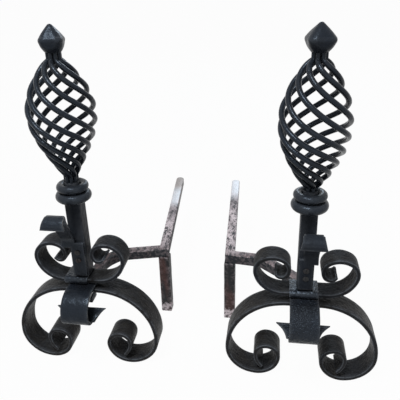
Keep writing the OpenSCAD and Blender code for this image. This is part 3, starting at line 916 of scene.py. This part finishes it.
def basket_growth():
    """Rods that stand in a ring, bow out to a belly and turn about the axis as they rise."""
    g = Growth("twisted_basket", Rods="int", Points="int", Sides="int", Height="float",
               FootLength="float", HeadLength="float", RingRadius="float", BellyRadius="float",
               BellyExponent="float", Roundness="float", Twist="float", TwistEnds="float",
               TwistLow="float", Phase="float", RodRadius="float", EndRadius="float",
               Unevenness="float", Seed="float", Foot="vector", Paint="material")
    rods, points, height = g.given("Rods", "Points", "Height")
    ring_r, rod_r, end_r = g.given("RingRadius", "RodRadius", "EndRadius")
    foot_length, head_length = g.given("FootLength", "HeadLength")
    line = g.value("GeometryNodeCurvePrimitiveLine", None, {"End": g.joined(0.0, 0.0, height)})
    line = g.value("GeometryNodeResampleCurve", None, {"Curve": line, "Count": points})
    level = g.value("GeometryNodeInputIndex") / (points - 1.0) * height
    t = ((level - foot_length) / (height - foot_length - head_length)).clamp()
    belly = ((t ** g.given("BellyExponent")) * math.pi).sin().most(0.0) ** g.given("Roundness")
    reach = ring_r + (g.given("BellyRadius") - ring_r) * belly
    round_trip = t * (2 * math.pi)
    eased = (g.given("TwistEnds") * round_trip.sin()
             + g.given("TwistLow") * (1.0 - round_trip.cos()))
    turn = g.given("Phase") - g.given("Twist") * (t + eased / (2 * math.pi))
    bowed = g.value("GeometryNodeSetPosition", None, {
        "Geometry": line, "Position": g.joined(reach * turn.cos(), reach * turn.sin(), level)})
    grown = ((reach - ring_r) / (2.0 * rod_r)).least(1.0)
    circle = g.value("GeometryNodeCurvePrimitiveCircle", None,
                     {"Resolution": g.given("Sides"), "Radius": 1.0})
    rod = g.value("GeometryNodeCurveToMesh", None, {
        "Curve": bowed, "Profile Curve": circle, "Fill Caps": True,
        "Scale": end_r + (rod_r - end_r) * grown})
    places = g.value("GeometryNodePoints", None, {"Count": rods})
    step = g.value("GeometryNodeInputIndex") / rods * (2 * math.pi)
    ring = g.value("GeometryNodeInstanceOnPoints", None, {
        "Points": places, "Instance": rod, "Rotation": g.turned(0.0, step)})
    real = g.value("GeometryNodeRealizeInstances", None, {0: ring})
    waves_per_metre, full_drift_at = 38.0, 0.02
    spot = g.value("GeometryNodeInputPosition")
    wobble = g.node("ShaderNodeTexNoise", {"noise_dimensions": "4D"}, {
        "Vector": spot, "W": g.given("Seed"), "Scale": waves_per_metre, "Detail": 1.0})
    drift = g.value("ShaderNodeVectorMath", {"operation": "SUBTRACT"},
                    {0: g.out(wobble, "Color"), 1: (0.5, 0.5, 0.5)})
    x, y, _ = g.split(spot)
    away = ((x ** 2.0) + (y ** 2.0)).math("SQRT") - ring_r - rod_r
    amount = g.value("ShaderNodeVectorMath", {"operation": "SCALE"}, {
        0: drift, "Scale": away.rise(0.0, full_drift_at) * g.given("Unevenness")})
    uneven = g.value("GeometryNodeSetPosition", None, {"Geometry": real, "Offset": amount})
    g.result(g.moved(uneven, g.given("Foot")), g.given("Paint"))
    return g


def screw_growth():
    """Slotted screw heads in a column, each slot at its own chance angle."""
    g = Growth("slotted_screws", Count="int", Pitch="float", HeadRadius="float",
               HeadHeight="float", SlotWidth="float", Seed="int", Foot="vector", Steel="material")
    radius, tall, slot = g.given("HeadRadius", "HeadHeight", "SlotWidth")
    around, least_turn, most_turn = 40, 0.5, 2.2

    def raised(node, height):
        return g.moved(g.out(node), g.joined(0.0, 0.0, height))

    rim = raised(g.node("GeometryNodeMeshCylinder", None, {
        "Vertices": around, "Radius": radius, "Depth": tall * 0.6}), tall * 0.3)
    cap = raised(g.node("GeometryNodeMeshCone", None, {
        "Vertices": around, "Radius Top": radius * 0.7, "Radius Bottom": radius,
        "Depth": tall * 0.4}), tall * 0.6)
    groove = raised(g.node("GeometryNodeMeshCube", None, {
        "Size": g.joined(radius * 3.0, slot, tall)}), tall)
    whole = g.node("GeometryNodeMeshBoolean", {"operation": "UNION", "solver": "EXACT"})
    for part in (rim, cap):
        g.tree.links.new(part.socket, whole.inputs[1])
    head = g.value("GeometryNodeMeshBoolean", {"operation": "DIFFERENCE", "solver": "EXACT"},
                   {0: g.out(whole), 1: groove})
    column = g.value("GeometryNodeMeshLine", {"mode": "OFFSET"}, {
        "Count": g.given("Count"), "Offset": g.joined(0.0, 0.0, g.given("Pitch"))})
    chance = g.node("FunctionNodeRandomValue", {"data_type": "FLOAT"}, {
        "Min": least_turn, "Max": most_turn, "Seed": g.given("Seed")})
    angle = next(o for o in chance.outputs if o.type == "VALUE" and o.enabled)
    turn = g.value("FunctionNodeRotateRotation", {"rotation_space": "LOCAL"}, {
        "Rotation": g.turned(math.pi / 2, 0.0),
        "Rotate By": g.turned(0.0, Wire(g.tree, angle))})
    heads = g.value("GeometryNodeInstanceOnPoints", None, {
        "Points": column, "Instance": head, "Rotation": turn})
    g.result(g.moved(heads, g.given("Foot")), g.given("Steel"))
    return g


# ---- The pieces -----------------------------------------------------------------------------


class MakeArches(bpy.types.Operator):
    """Make the two wide arches whose ends curl into feet"""

    bl_idname = "andiron.arches"
    bl_label = "Arches with scrolled feet"

    def execute(self, context):
        s, h = sizes(), stack()
        steps = [(0, s.arch_flat), (s.arch_r1, -90), (s.arch_r2, -90), (s.arch_r3, -90),
                 (s.arch_r4, -90), (s.arch_r5, -90), (2 * s.arch_r5, -48)]
        line = both_ways(bent((0, h.arch), 0, steps, fine=2.5))
        for side in SIDES:
            obj = upright_strap(f"{side}_arch_bar", line, axis(side), s.arch_w,
                                drawn_out(line, s.arch_t, lost=0.12))
            forged(obj, side, "arch", "arch_black")
        return {"FINISHED"}


class MakeUpperScrolls(bpy.types.Operator):
    """Make the two smaller scrolls that stand on the arches"""

    bl_idname = "andiron.upper_scrolls"
    bl_label = "Upper scrolls"

    def execute(self, context):
        s, h = sizes(), stack()
        for side in SIDES:
            mine = own(side)
            curl = mine.curl_share
            line = both_ways(bent((0, h.scroll), 0, [
                (0, mine.scroll_flat), (s.scroll_r1, 78), (mine.scroll_r2, 72),
                (curl * s.scroll_r3, 60), (curl * s.scroll_r4, 90), (curl * s.scroll_r5, 125)]))
            obj = upright_strap(f"{side}_scroll_bar", line, axis(side), s.scroll_w,
                                drawn_out(line, s.scroll_t), corner=1.2 * MM)
            forged(obj, side, "upper_scroll", "scroll_black")
        return {"FINISHED"}


class MakeCollars(bpy.types.Operator):
    """Make the bands that wrap the scrolls under the posts"""

    bl_idname = "andiron.collars"
    bl_label = "Collars"

    def execute(self, context):
        s, h = sizes(), stack()
        deep, tall = s.scroll_w + 2 * s.fit_gap, s.scroll_t + 2 * s.fit_gap
        wall = 2 * s.collar_t
        flat_front, hole_corner, end_ease = 0.1 * MM, 0.5 * MM, 1.0 * MM
        outside = (deep + wall, tall + wall, (tall + wall) / 2 - flat_front)
        for side in SIDES:
            mine, foot = own(side), axis(side)
            middle = (foot.x + OUTER[side] * mine.collar_out, foot.y, h.scroll)
            obj = sleeve(f"{side}_collar_band", middle, mine.collar_w, outside,
                         (deep, tall, hole_corner), end_ease)
            forged(obj, side, "collar", "collar_black")
        return {"FINISHED"}


class MakeFrontCurls(bpy.types.Operator):
    """Make the straps that come forward, turn down and curl back to a fishtail"""

    bl_idname = "andiron.front_curls"
    bl_label = "Front curls"

    def execute(self, context):
        s, h = sizes(), stack()
        back, tip_rise, tip_loss = s.arch_w / 2 - 2 * MM, 1 * MM, 0.35
        for side in SIDES:
            front_r = own(side).curl_r1
            line = bent((-back, h.curl), 0, [(0, back + s.curl_root), (front_r, -90),
                                              (s.curl_r2, -90), (s.curl_r3, -90)], fine=4)
            turned = np.clip((-line[:, 2] - 180) / 90, 0, 1)
            low_z = h.curl - front_r - s.curl_r2 - s.curl_t / 2
            tip_z = line[-1, 1] + tip_rise
            climb = np.clip((line[:, 1] - low_z) / (tip_z - low_z), 0, 1) * (turned > 0)
            width = s.curl_w + (s.curl_tip_w - s.curl_w) * climb
            last_fifth = np.clip(turned * 5 - 4, 0, 1)
            thick = s.curl_t * (1 - tip_loss * last_fifth)
            obj = forward_strap(f"{side}_front_curl_strap", line, axis(side), width, thick,
                                corner=1.0 * MM, wide_steps=10)
            paint = "smooth_black" if side == "left" else "pitted_black"
            forged(obj, side, "front_curl", paint)
        return {"FINISHED"}


class MakePosts(bpy.types.Operator):
    """Make the square posts with their round necks, and the nuts under the stack"""

    bl_idname = "andiron.posts"
    bl_label = "Posts and nuts"

    def execute(self, context):
        s, h = sizes(), stack()
        neck_r, half_nut = s.neck_d / 2, s.nut_af / 2
        neck_ease, nut_ease, root = 0.6 * MM, 1.2 * MM, 2 * MM
        tenon_tip, tenon_r = 5 * MM, 6 * MM
        for side in SIDES:
            foot, peg_r = axis(side), peg_radius(side)
            line = straight_up(0, h.collar_top, h.post_top, points=40)
            square = upright_strap("post_body", line, foot, s.post_w, s.post_w, corner=1.5 * MM)
            neck = lathe("post_neck", [
                (neck_r, h.post_top - root), (neck_r, h.post_top), (neck_r, h.neck_top - MM),
                (neck_r - neck_ease, h.neck_top), (peg_r, h.neck_top),
                (peg_r, h.neck_top + s.peg_h)], foot)
            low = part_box(f"{side}_post")[0][2]
            tenon = lathe("post_tenon", [(tenon_tip, low), (tenon_r, low + MM),
                                         (tenon_r, h.collar_top + MM)], foot, steps=32)
            obj = joined(f"{side}_post_bar", square, neck, tenon)
            forged(obj, side, "post", "post_black", leans=True)
            outline = [(foot.x + a * half_nut, foot.y + b * half_nut)
                       for a, b in ((-1, -1), (1, -1), (1, 1), (-1, 1))]
            nut = eased_plate(f"{side}_nut", outline, h.nut, h.nut + s.nut_h, nut_ease)
            mark_edges(nut)
            settle(nut, side, [f"{side}_base_nut"], "arch_black")
        return {"FINISHED"}


class MakeRings(bpy.types.Operator):
    """Make the two rings round each neck"""

    bl_idname = "andiron.rings"
    bl_label = "Neck rings"

    def execute(self, context):
        s, h = sizes(), stack()
        rings = (("lower", h.ring_low_r, s.ring_low_bar, h.ring_low),
                 ("upper", h.ring_up_r, s.ring_up_bar, h.ring_up))
        mark_depth, mark_size, seed_per_metre = 0.5 * MM, 0.013, 40
        for side in SIDES:
            for which, radius, bar, z in rings:
                middle = axis(side) + Vector((0, 0, z))
                obj = ring_mesh(f"{side}_{which}_ring", middle, radius, bar)
                hammered(obj, mark_depth, mark_size, z * seed_per_metre + OUTER[side])
                mark_edges(obj)
                leaned(obj, side)
                settle(obj, side, [f"{side}_ring_{which}"], "smooth_black")
        return {"FINISHED"}


class MakeBaskets(bpy.types.Operator):
    """Make the twisted baskets"""

    bl_idname = "andiron.baskets"
    bl_label = "Twisted baskets"

    def execute(self, context):
        s, h = sizes(), stack()
        growth = basket_growth()
        for side in SIDES:
            mine = own(side)
            obj = growth.grow(
                f"{side}_basket", Rods=mine.rods, Points=120, Sides=16, Height=s.basket_h,
                FootLength=mine.rod_foot, HeadLength=mine.rod_head,
                RingRadius=(s.neck_d - mine.rod_end_d) / 2,
                BellyRadius=(s.basket_d - s.rod_d) / 2,
                BellyExponent=math.log(0.5) / math.log(mine.belly_at),
                Roundness=mine.belly_power, Twist=mine.twist, TwistEnds=s.twist_ends,
                TwistLow=mine.twist_low, Phase=mine.phase, RodRadius=s.rod_d / 2,
                EndRadius=mine.rod_end_d / 2, Unevenness=1.3 * MM, Seed=float(2 + OUTER[side]),
                Foot=axis(side) + Vector((0, 0, h.neck_top)), Paint=finish("rod_black"))
            leaned(obj, side)
            rods = [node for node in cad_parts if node.startswith(f"{side}_basket_rod_")]
            settle(obj, side, rods, "rod_black")
        return {"FINISHED"}


def finial_profile(side):
    """The finial's outline for the lathe: a peg, a bowl, a rounded ridge and a point."""
    s = sizes()
    peg_r, half = peg_radius(side), own(side).finial_w / 2
    ease, ridge_r, tip_r, corner = 0.8 * MM, 6.5 * MM, 4.5 * MM, 9 * MM
    bowl_swell, point_swell = 0.9 * MM, 0.5 * MM
    low_turn, high_turn, ridge_points = -24, 42, 8
    foot_r, tip_z = s.neck_d / 2 + ease, s.finial_h - tip_r

    def on_arc(r, z, radius, angle):
        a = math.radians(angle)
        return r + radius * math.cos(a), z + radius * math.sin(a)

    def swollen(start, end, swell, steps):
        """Points between two others, bulged outwards, each with its share of the way."""
        for t in (i / steps for i in range(1, steps)):
            yield (start[0] + (end[0] - start[0]) * t + swell * math.sin(math.pi * t),
                   start[1] + (end[1] - start[1]) * t, t)

    turns = [low_turn + (high_turn - low_turn) * i / (ridge_points - 1)
             for i in range(ridge_points)]
    ridge = [on_arc(half - ridge_r, s.finial_belly, ridge_r, turn) for turn in turns]
    profile = [(peg_r, -s.peg_h), (peg_r, 0.0), (foot_r - ease, 0.0), (foot_r, ease)]
    profile += [(r, z, r + (corner - r) * t)
                for r, z, t in swollen((foot_r, ease), ridge[0], bowl_swell, 9)]
    profile += [(r, z, corner) for r, z in ridge]
    crown = on_arc(0.0, tip_z, tip_r, high_turn)
    roundness, more_roundness = 0.6, 0.35
    profile += [(r, z, r * (roundness + more_roundness * t * t))
                for r, z, t in swollen(ridge[-1], crown, point_swell, 13)]
    return profile + [(*on_arc(0.0, tip_z, tip_r, turn), tip_r)
                      for turn in (high_turn, 52, 62, 72, 81, 88)]


class MakeFinials(bpy.types.Operator):
    """Make the four-sided points on top"""

    bl_idname = "andiron.finials"
    bl_label = "Finials"

    def execute(self, context):
        s, h = sizes(), stack()
        for side in SIDES:
            foot = axis(side) + Vector((0, 0, h.finial))
            obj = lathe(f"{side}_point", finial_profile(side), foot, steps=96, turn=s.finial_turn)
            forged(obj, side, "finial", "point_black", leans=True)
        return {"FINISHED"}


class MakeHooks(bpy.types.Operator):
    """Make the plates with their curled hooks"""

    bl_idname = "andiron.hooks"
    bl_label = "Plates and hooks"

    def execute(self, context):
        s, h = sizes(), stack()
        root_depth, root_rise, root_r, sway_r = 9 * MM, 7 * MM, 20 * MM, 30 * MM
        sway, curl_end, lip_turn, lip_run = 20, 110, -80, 3 * MM
        corner, thinned = 0.9 * MM, np.linspace(0.95, 0.68, 4)
        for side in SIDES:
            foot, out, mine = axis(side), OUTER[side], own(side)
            plate_top, lean = h.plate + mine.plate_h, math.degrees(mine.hook_lean)
            start = (s.post_w / 2 + s.plate_t / 2, plate_top - root_depth)
            rise = bent(start, 90, [(0, root_rise), (root_r, -lean), (0, s.hook_rise),
                                    (sway_r, sway), (s.hook_r, lean - curl_end)],
                        fine=5, stride=3 * MM)
            crown = rise[-1]
            lip = bent(crown[:2], crown[2], [(s.hook_r, lip_turn), (0, lip_run)], fine=5)
            line = np.vstack([rise, lip[1:]])
            crown_z, lip_z = crown[1] + s.plate_t, lip[-1, 1] - MM
            up = np.clip((line[:, 1] - start[1]) / (crown_z - start[1]), 0, 1)
            down = np.clip((crown_z - line[:, 1]) / (crown_z - lip_z), 0, 1)
            in_lip = np.arange(len(line)) >= len(rise)
            root, mid = out * mine.hook_root, out * s.hook_out
            sideways = np.where(in_lip, mid, root + (mid - root) * up)
            width = np.where(in_lip, s.hook_w + (s.hook_tip_w - s.hook_w) * down,
                             s.hook_root_w + (s.hook_w - s.hook_root_w) * up)
            thick = np.full(len(line), s.plate_t)
            thick[-len(thinned):] *= thinned
            hook = forward_strap("hook_strap", line, foot, width, thick, sideways=sideways,
                                 corner=corner, wide_steps=8)
            plate_line = straight_up(start[0], h.plate, plate_top, points=18)
            plate = forward_strap("hook_plate", plate_line, foot, s.plate_w, s.plate_t,
                                  corner=corner)
            obj = joined(f"{side}_hook_iron", plate, hook)
            paint = "smooth_black" if side == "left" else "post_black"
            forged(obj, side, "hook", paint, leans=True)
        return {"FINISHED"}


class MakeScrews(bpy.types.Operator):
    """Make the slotted screw heads on the plates"""

    bl_idname = "andiron.screws"
    bl_label = "Plate screws"

    def execute(self, context):
        s, h = sizes(), stack()
        growth = screw_growth()
        for side in SIDES:
            face = -s.post_w / 2 - s.plate_t
            spot = axis(side) + Vector((0, face, h.plate + own(side).screw_low))
            obj = growth.grow(f"{side}_screw_heads", Count=2, Pitch=s.screw_pitch,
                              HeadRadius=s.screw_head_d / 2, HeadHeight=2 * MM,
                              SlotWidth=1.2 * MM, Seed=5 + OUTER[side], Foot=spot,
                              Steel=finish("screw_black"))
            leaned(obj, side)
            settle(obj, side, [f"{side}_hook_screws"], "screw_black")
            obj.data.shade_flat()
        return {"FINISHED"}


def bar_route(side):
    """The log bar's centre line from its root to its corner, with the inner side at +x."""
    s, mine = sizes(), own(side)
    back = -s.bar_w + 2 * MM
    line = bent((0, back), 90, [(0, mine.root - back), (s.bar_bend_1, -math.degrees(mine.turn)),
                                (0, mine.slant), (s.bar_bend_2, -math.degrees(mine.square))])
    end = line[-1]
    more = (mine.reach - end[0]) / math.cos(math.radians(end[2]))
    return np.vstack([line, bent(end[:2], end[2], [(0, more)])[1:]])


def heading_pair(angle):
    """Directions along an angle and to the left of it."""
    c, s = math.cos(angle), math.sin(angle)
    return np.array([c, s]), np.array([-s, c])


def meet(p, d, q, e):
    """Where the line from p along d crosses the line from q along e."""
    k = np.linalg.solve(np.array([d, -e]).T, q - p)
    return p + k[0] * d


class MakeLogBars(bpy.types.Operator):
    """Make the cranked square bars that carry the logs"""

    bl_idname = "andiron.log_bars"
    bl_label = "Log bars"

    def execute(self, context):
        s, h = sizes(), stack()
        half, edge_ease, edge_gain = s.bar_w / 2, 1.9 * MM, 25
        for side in SIDES:
            mine, foot, inner = own(side), axis(side), -OUTER[side]
            route = bar_route(side)
            corner = route[-1, :2]
            forward, left = heading_pair(math.radians(route[-1, 2]))
            along, outwards = heading_pair(math.pi / 2 + mine.lean)
            a = np.radians(route[:, 2])
            normal = np.stack([-np.sin(a), np.cos(a)], 1)
            near, far = route[:, :2] - half * normal, route[:, :2] + half * normal
            front = meet(corner - half * left, forward, corner - half * outwards, along)
            inside = meet(corner + half * left, forward, corner + half * outwards, along)
            if (inside - front) @ along < 0:
                raise RuntimeError("the log bar's corner is folded")
            tip = corner + mine.run * along
            round_tip = [tip + half * (math.sin(t) * along - math.cos(t) * outwards)
                         for t in np.radians(np.arange(0, 181, 12))]
            outline = [*near[(near - front) @ forward < -MM], front, *round_tip, inside,
                       *far[(far - inside) @ forward < -MM][::-1]]
            world = [(foot.x + inner * p[0], foot.y + p[1]) for p in outline]
            obj = eased_plate(f"{side}_log_iron", world, h.bar_top - s.bar_w, h.bar_top, edge_ease)
            mark_edges(obj, edge_gain)
            flat = np.array([v.co[:2] for v in obj.data.vertices]) - np.array(foot[:2])
            flat[:, 0] *= inner
            store(obj, "along", ((flat - corner) @ along) / mine.run)
            settle(obj, side, [f"{side}_log_bar"], f"{side}_scale")
        return {"FINISHED"}


class MakeLegs(bpy.types.Operator):
    """Make the square legs under the log bars' corners"""

    bl_idname = "andiron.legs"
    bl_label = "Legs"

    def execute(self, context):
        for side in SIDES:
            lo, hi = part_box(f"{side}_leg")
            middle = (Vector(lo) + Vector(hi)) / 2
            wide = hi[0] - lo[0]
            line = straight_up(0, lo[2], hi[2], points=40)
            obj = upright_strap(f"{side}_leg_iron", line, (middle.x, middle.y, 0), wide, wide,
                                corner=1.9 * MM)
            forged(obj, side, "leg", "leg_scale")
        return {"FINISHED"}


# ---- Studio ---------------------------------------------------------------------------------


WHITE = (1.0, 1.0, 1.0, 1.0)
FILL, FILL_STRENGTH = (0.92, 0.95, 1.0, 1.0), 0.155
FLOOR_REACH, FLOOR_WHITE = 14.0, 0.972

# Name, place, what it points at, size across, watts and colour.
LAMPS = (
    ("top_lamp", (-0.25, -0.9, 1.85), (0.0, -0.1, 0.2), 0.6, 27.0, (0.88, 0.94, 1.0)),
    ("sky_lamp", (0.1, 2.3, 1.5), (0.0, 0.0, 0.2), 0.8, 11.0, (0.72, 0.86, 1.0)),
    ("front_lamp", (0.5, -2.2, 1.1), (0.0, 0.0, 0.2), 1.2, 4.0, (0.97, 0.98, 1.0)),
)

# The photograph's camera: its angles in degrees, its focal length as a share of the picture's
# width, and its place, with the middle number counted from the post axes.
CAMERA_TURN, CAMERA_TILT, CAMERA_TIP = -8.632, 25.109, -1.344
FOCAL_SHARE, SENSOR = 499.4 / 400, 36.0
CAMERA_PLACE = (0.1058, -0.5949, 0.5589)


def seen(bench):
    """1 for rays from the camera, from a gloss or through glass, else 0."""
    path = bench.node("ShaderNodeLightPath")
    glossy, through = bench.out(path, "Is Glossy Ray"), bench.out(path, "Is Transmission Ray")
    return bench.out(path, "Is Camera Ray").most(glossy).most(through)


class MakeStudio(bpy.types.Operator):
    """Set the floor, the lamps and the camera"""

    bl_idname = "andiron.studio"
    bl_label = "Studio"

    def execute(self, context):
        scene = context.scene
        scene.view_settings.view_transform = "Standard"
        self.floor()
        self.world(scene)
        for lamp in LAMPS:
            self.lamp(*lamp)
        self.camera(scene)
        return {"FINISHED"}

    def floor(self):
        mesh = bpy.data.meshes.new("studio_floor")
        corners = [(a * FLOOR_REACH, b * FLOOR_REACH, 0)
                   for a, b in ((-1, -1), (1, -1), (1, 1), (-1, 1))]
        mesh.from_pydata(corners, [], [(0, 1, 2, 3)])
        floor = linked("studio_floor", mesh)
        material = bpy.data.materials.new("studio_white")
        material.use_nodes = True
        b = Bench(material.node_tree)
        b.tree.nodes.clear()
        pale = b.value("ShaderNodeBsdfDiffuse", None, {"Color": (*tint("floor"), 1.0)})
        glow = b.value("ShaderNodeEmission", None, {"Color": WHITE, "Strength": 1.0})
        whole = b.value("ShaderNodeMixShader", None, {0: seen(b) * FLOOR_WHITE, 1: pale, 2: glow})
        b.node("ShaderNodeOutputMaterial", None, {"Surface": whole})
        mesh.materials.append(material)

    def world(self, scene):
        world = bpy.data.worlds.new("studio_air")
        scene.world = world
        world.use_nodes = True
        b = Bench(world.node_tree)
        b.tree.nodes.clear()
        fill, white = (b.value("ShaderNodeBackground", None, {"Color": rgb, "Strength": strength})
                       for rgb, strength in ((FILL, FILL_STRENGTH), (WHITE, 1.0)))
        whole = b.value("ShaderNodeMixShader", None, {0: seen(b), 1: fill, 2: white})
        b.node("ShaderNodeOutputWorld", None, {"Surface": whole})

    def lamp(self, name, place, target, size, watts, rgb):
        light = bpy.data.lights.new(name, "AREA")
        light.shape, light.size, light.energy, light.color = "DISK", size, watts, rgb
        lamp = linked(name, light)
        lamp.location = place
        aim = Vector(target) - Vector(place)
        lamp.rotation_euler = aim.to_track_quat("-Z", "Y").to_euler()

    def camera(self, scene):
        """Turned a little to the left, looking down and tipped slightly."""
        turn, tilt, tip = (math.radians(a) for a in (CAMERA_TURN, CAMERA_TILT, CAMERA_TIP))
        side = Vector((math.cos(turn), -math.sin(turn), 0.0))
        ahead = Vector((math.sin(turn), math.cos(turn), 0.0))
        up = Vector((0.0, 0.0, 1.0))
        down = -math.sin(tilt) * ahead - math.cos(tilt) * up
        forward = math.cos(tilt) * ahead - math.sin(tilt) * up
        right = math.cos(tip) * side - math.sin(tip) * down
        lower = math.sin(tip) * side + math.cos(tip) * down
        data = bpy.data.cameras.new("photo_camera")
        data.sensor_width, data.lens = SENSOR, FOCAL_SHARE * SENSOR
        data.clip_start, data.clip_end = 0.02, 60.0
        camera = linked("photo_camera", data)
        x, y, z = CAMERA_PLACE
        place = Matrix.Translation(Vector((x, axis("left").y + y, z)))
        camera.matrix_world = place @ Matrix((right, -lower, -forward)).transposed().to_4x4()
        scene.camera = camera


class AndironPanel(bpy.types.Panel):
    """Lists the andirons' pieces, sizes and finishes"""

    bl_idname = "VIEW3D_PT_andirons"
    bl_label = "Andirons"
    bl_space_type = "VIEW_3D"
    bl_region_type = "UI"
    bl_category = "Andirons"

    def draw(self, context):
        for operator in STEPS:
            self.layout.operator(operator.bl_idname)
        for name, (_, title) in GROUPS.items():
            group = getattr(context.scene, name)
            box = self.layout.box()
            box.label(text=title)
            for field in group.bl_rna.properties.keys():
                if field not in ("rna_type", "name"):
                    box.prop(group, field)


STEPS = (MakeStudio, MakeArches, MakeUpperScrolls, MakeCollars, MakeFrontCurls, MakePosts,
         MakeRings, MakeBaskets, MakeFinials, MakeHooks, MakeScrews, MakeLogBars, MakeLegs)
GROUPS = {
    "andiron_sizes": (AndironSizes, "Sizes"),
    "left_andiron_sizes": (LeftAndironSizes, "Left andiron"),
    "right_andiron_sizes": (RightAndironSizes, "Right andiron"),
    "andiron_finish": (AndironFinish, "Finish"),
}
CLASSES = (*(group for group, _ in GROUPS.values()), *STEPS, AndironPanel)


def register():
    for part in CLASSES:
        bpy.utils.register_class(part)
    for name, (group, _) in GROUPS.items():
        setattr(bpy.types.Scene, name, PointerProperty(type=group))


def unregister():
    for name in GROUPS:
        delattr(bpy.types.Scene, name)
    for part in reversed(CLASSES):
        bpy.utils.unregister_class(part)


def main():
    register()
    for operator in STEPS:
        kind, name = operator.bl_idname.split(".")
        getattr(getattr(bpy.ops, kind), name)()


if __name__ == "__main__":
    main()
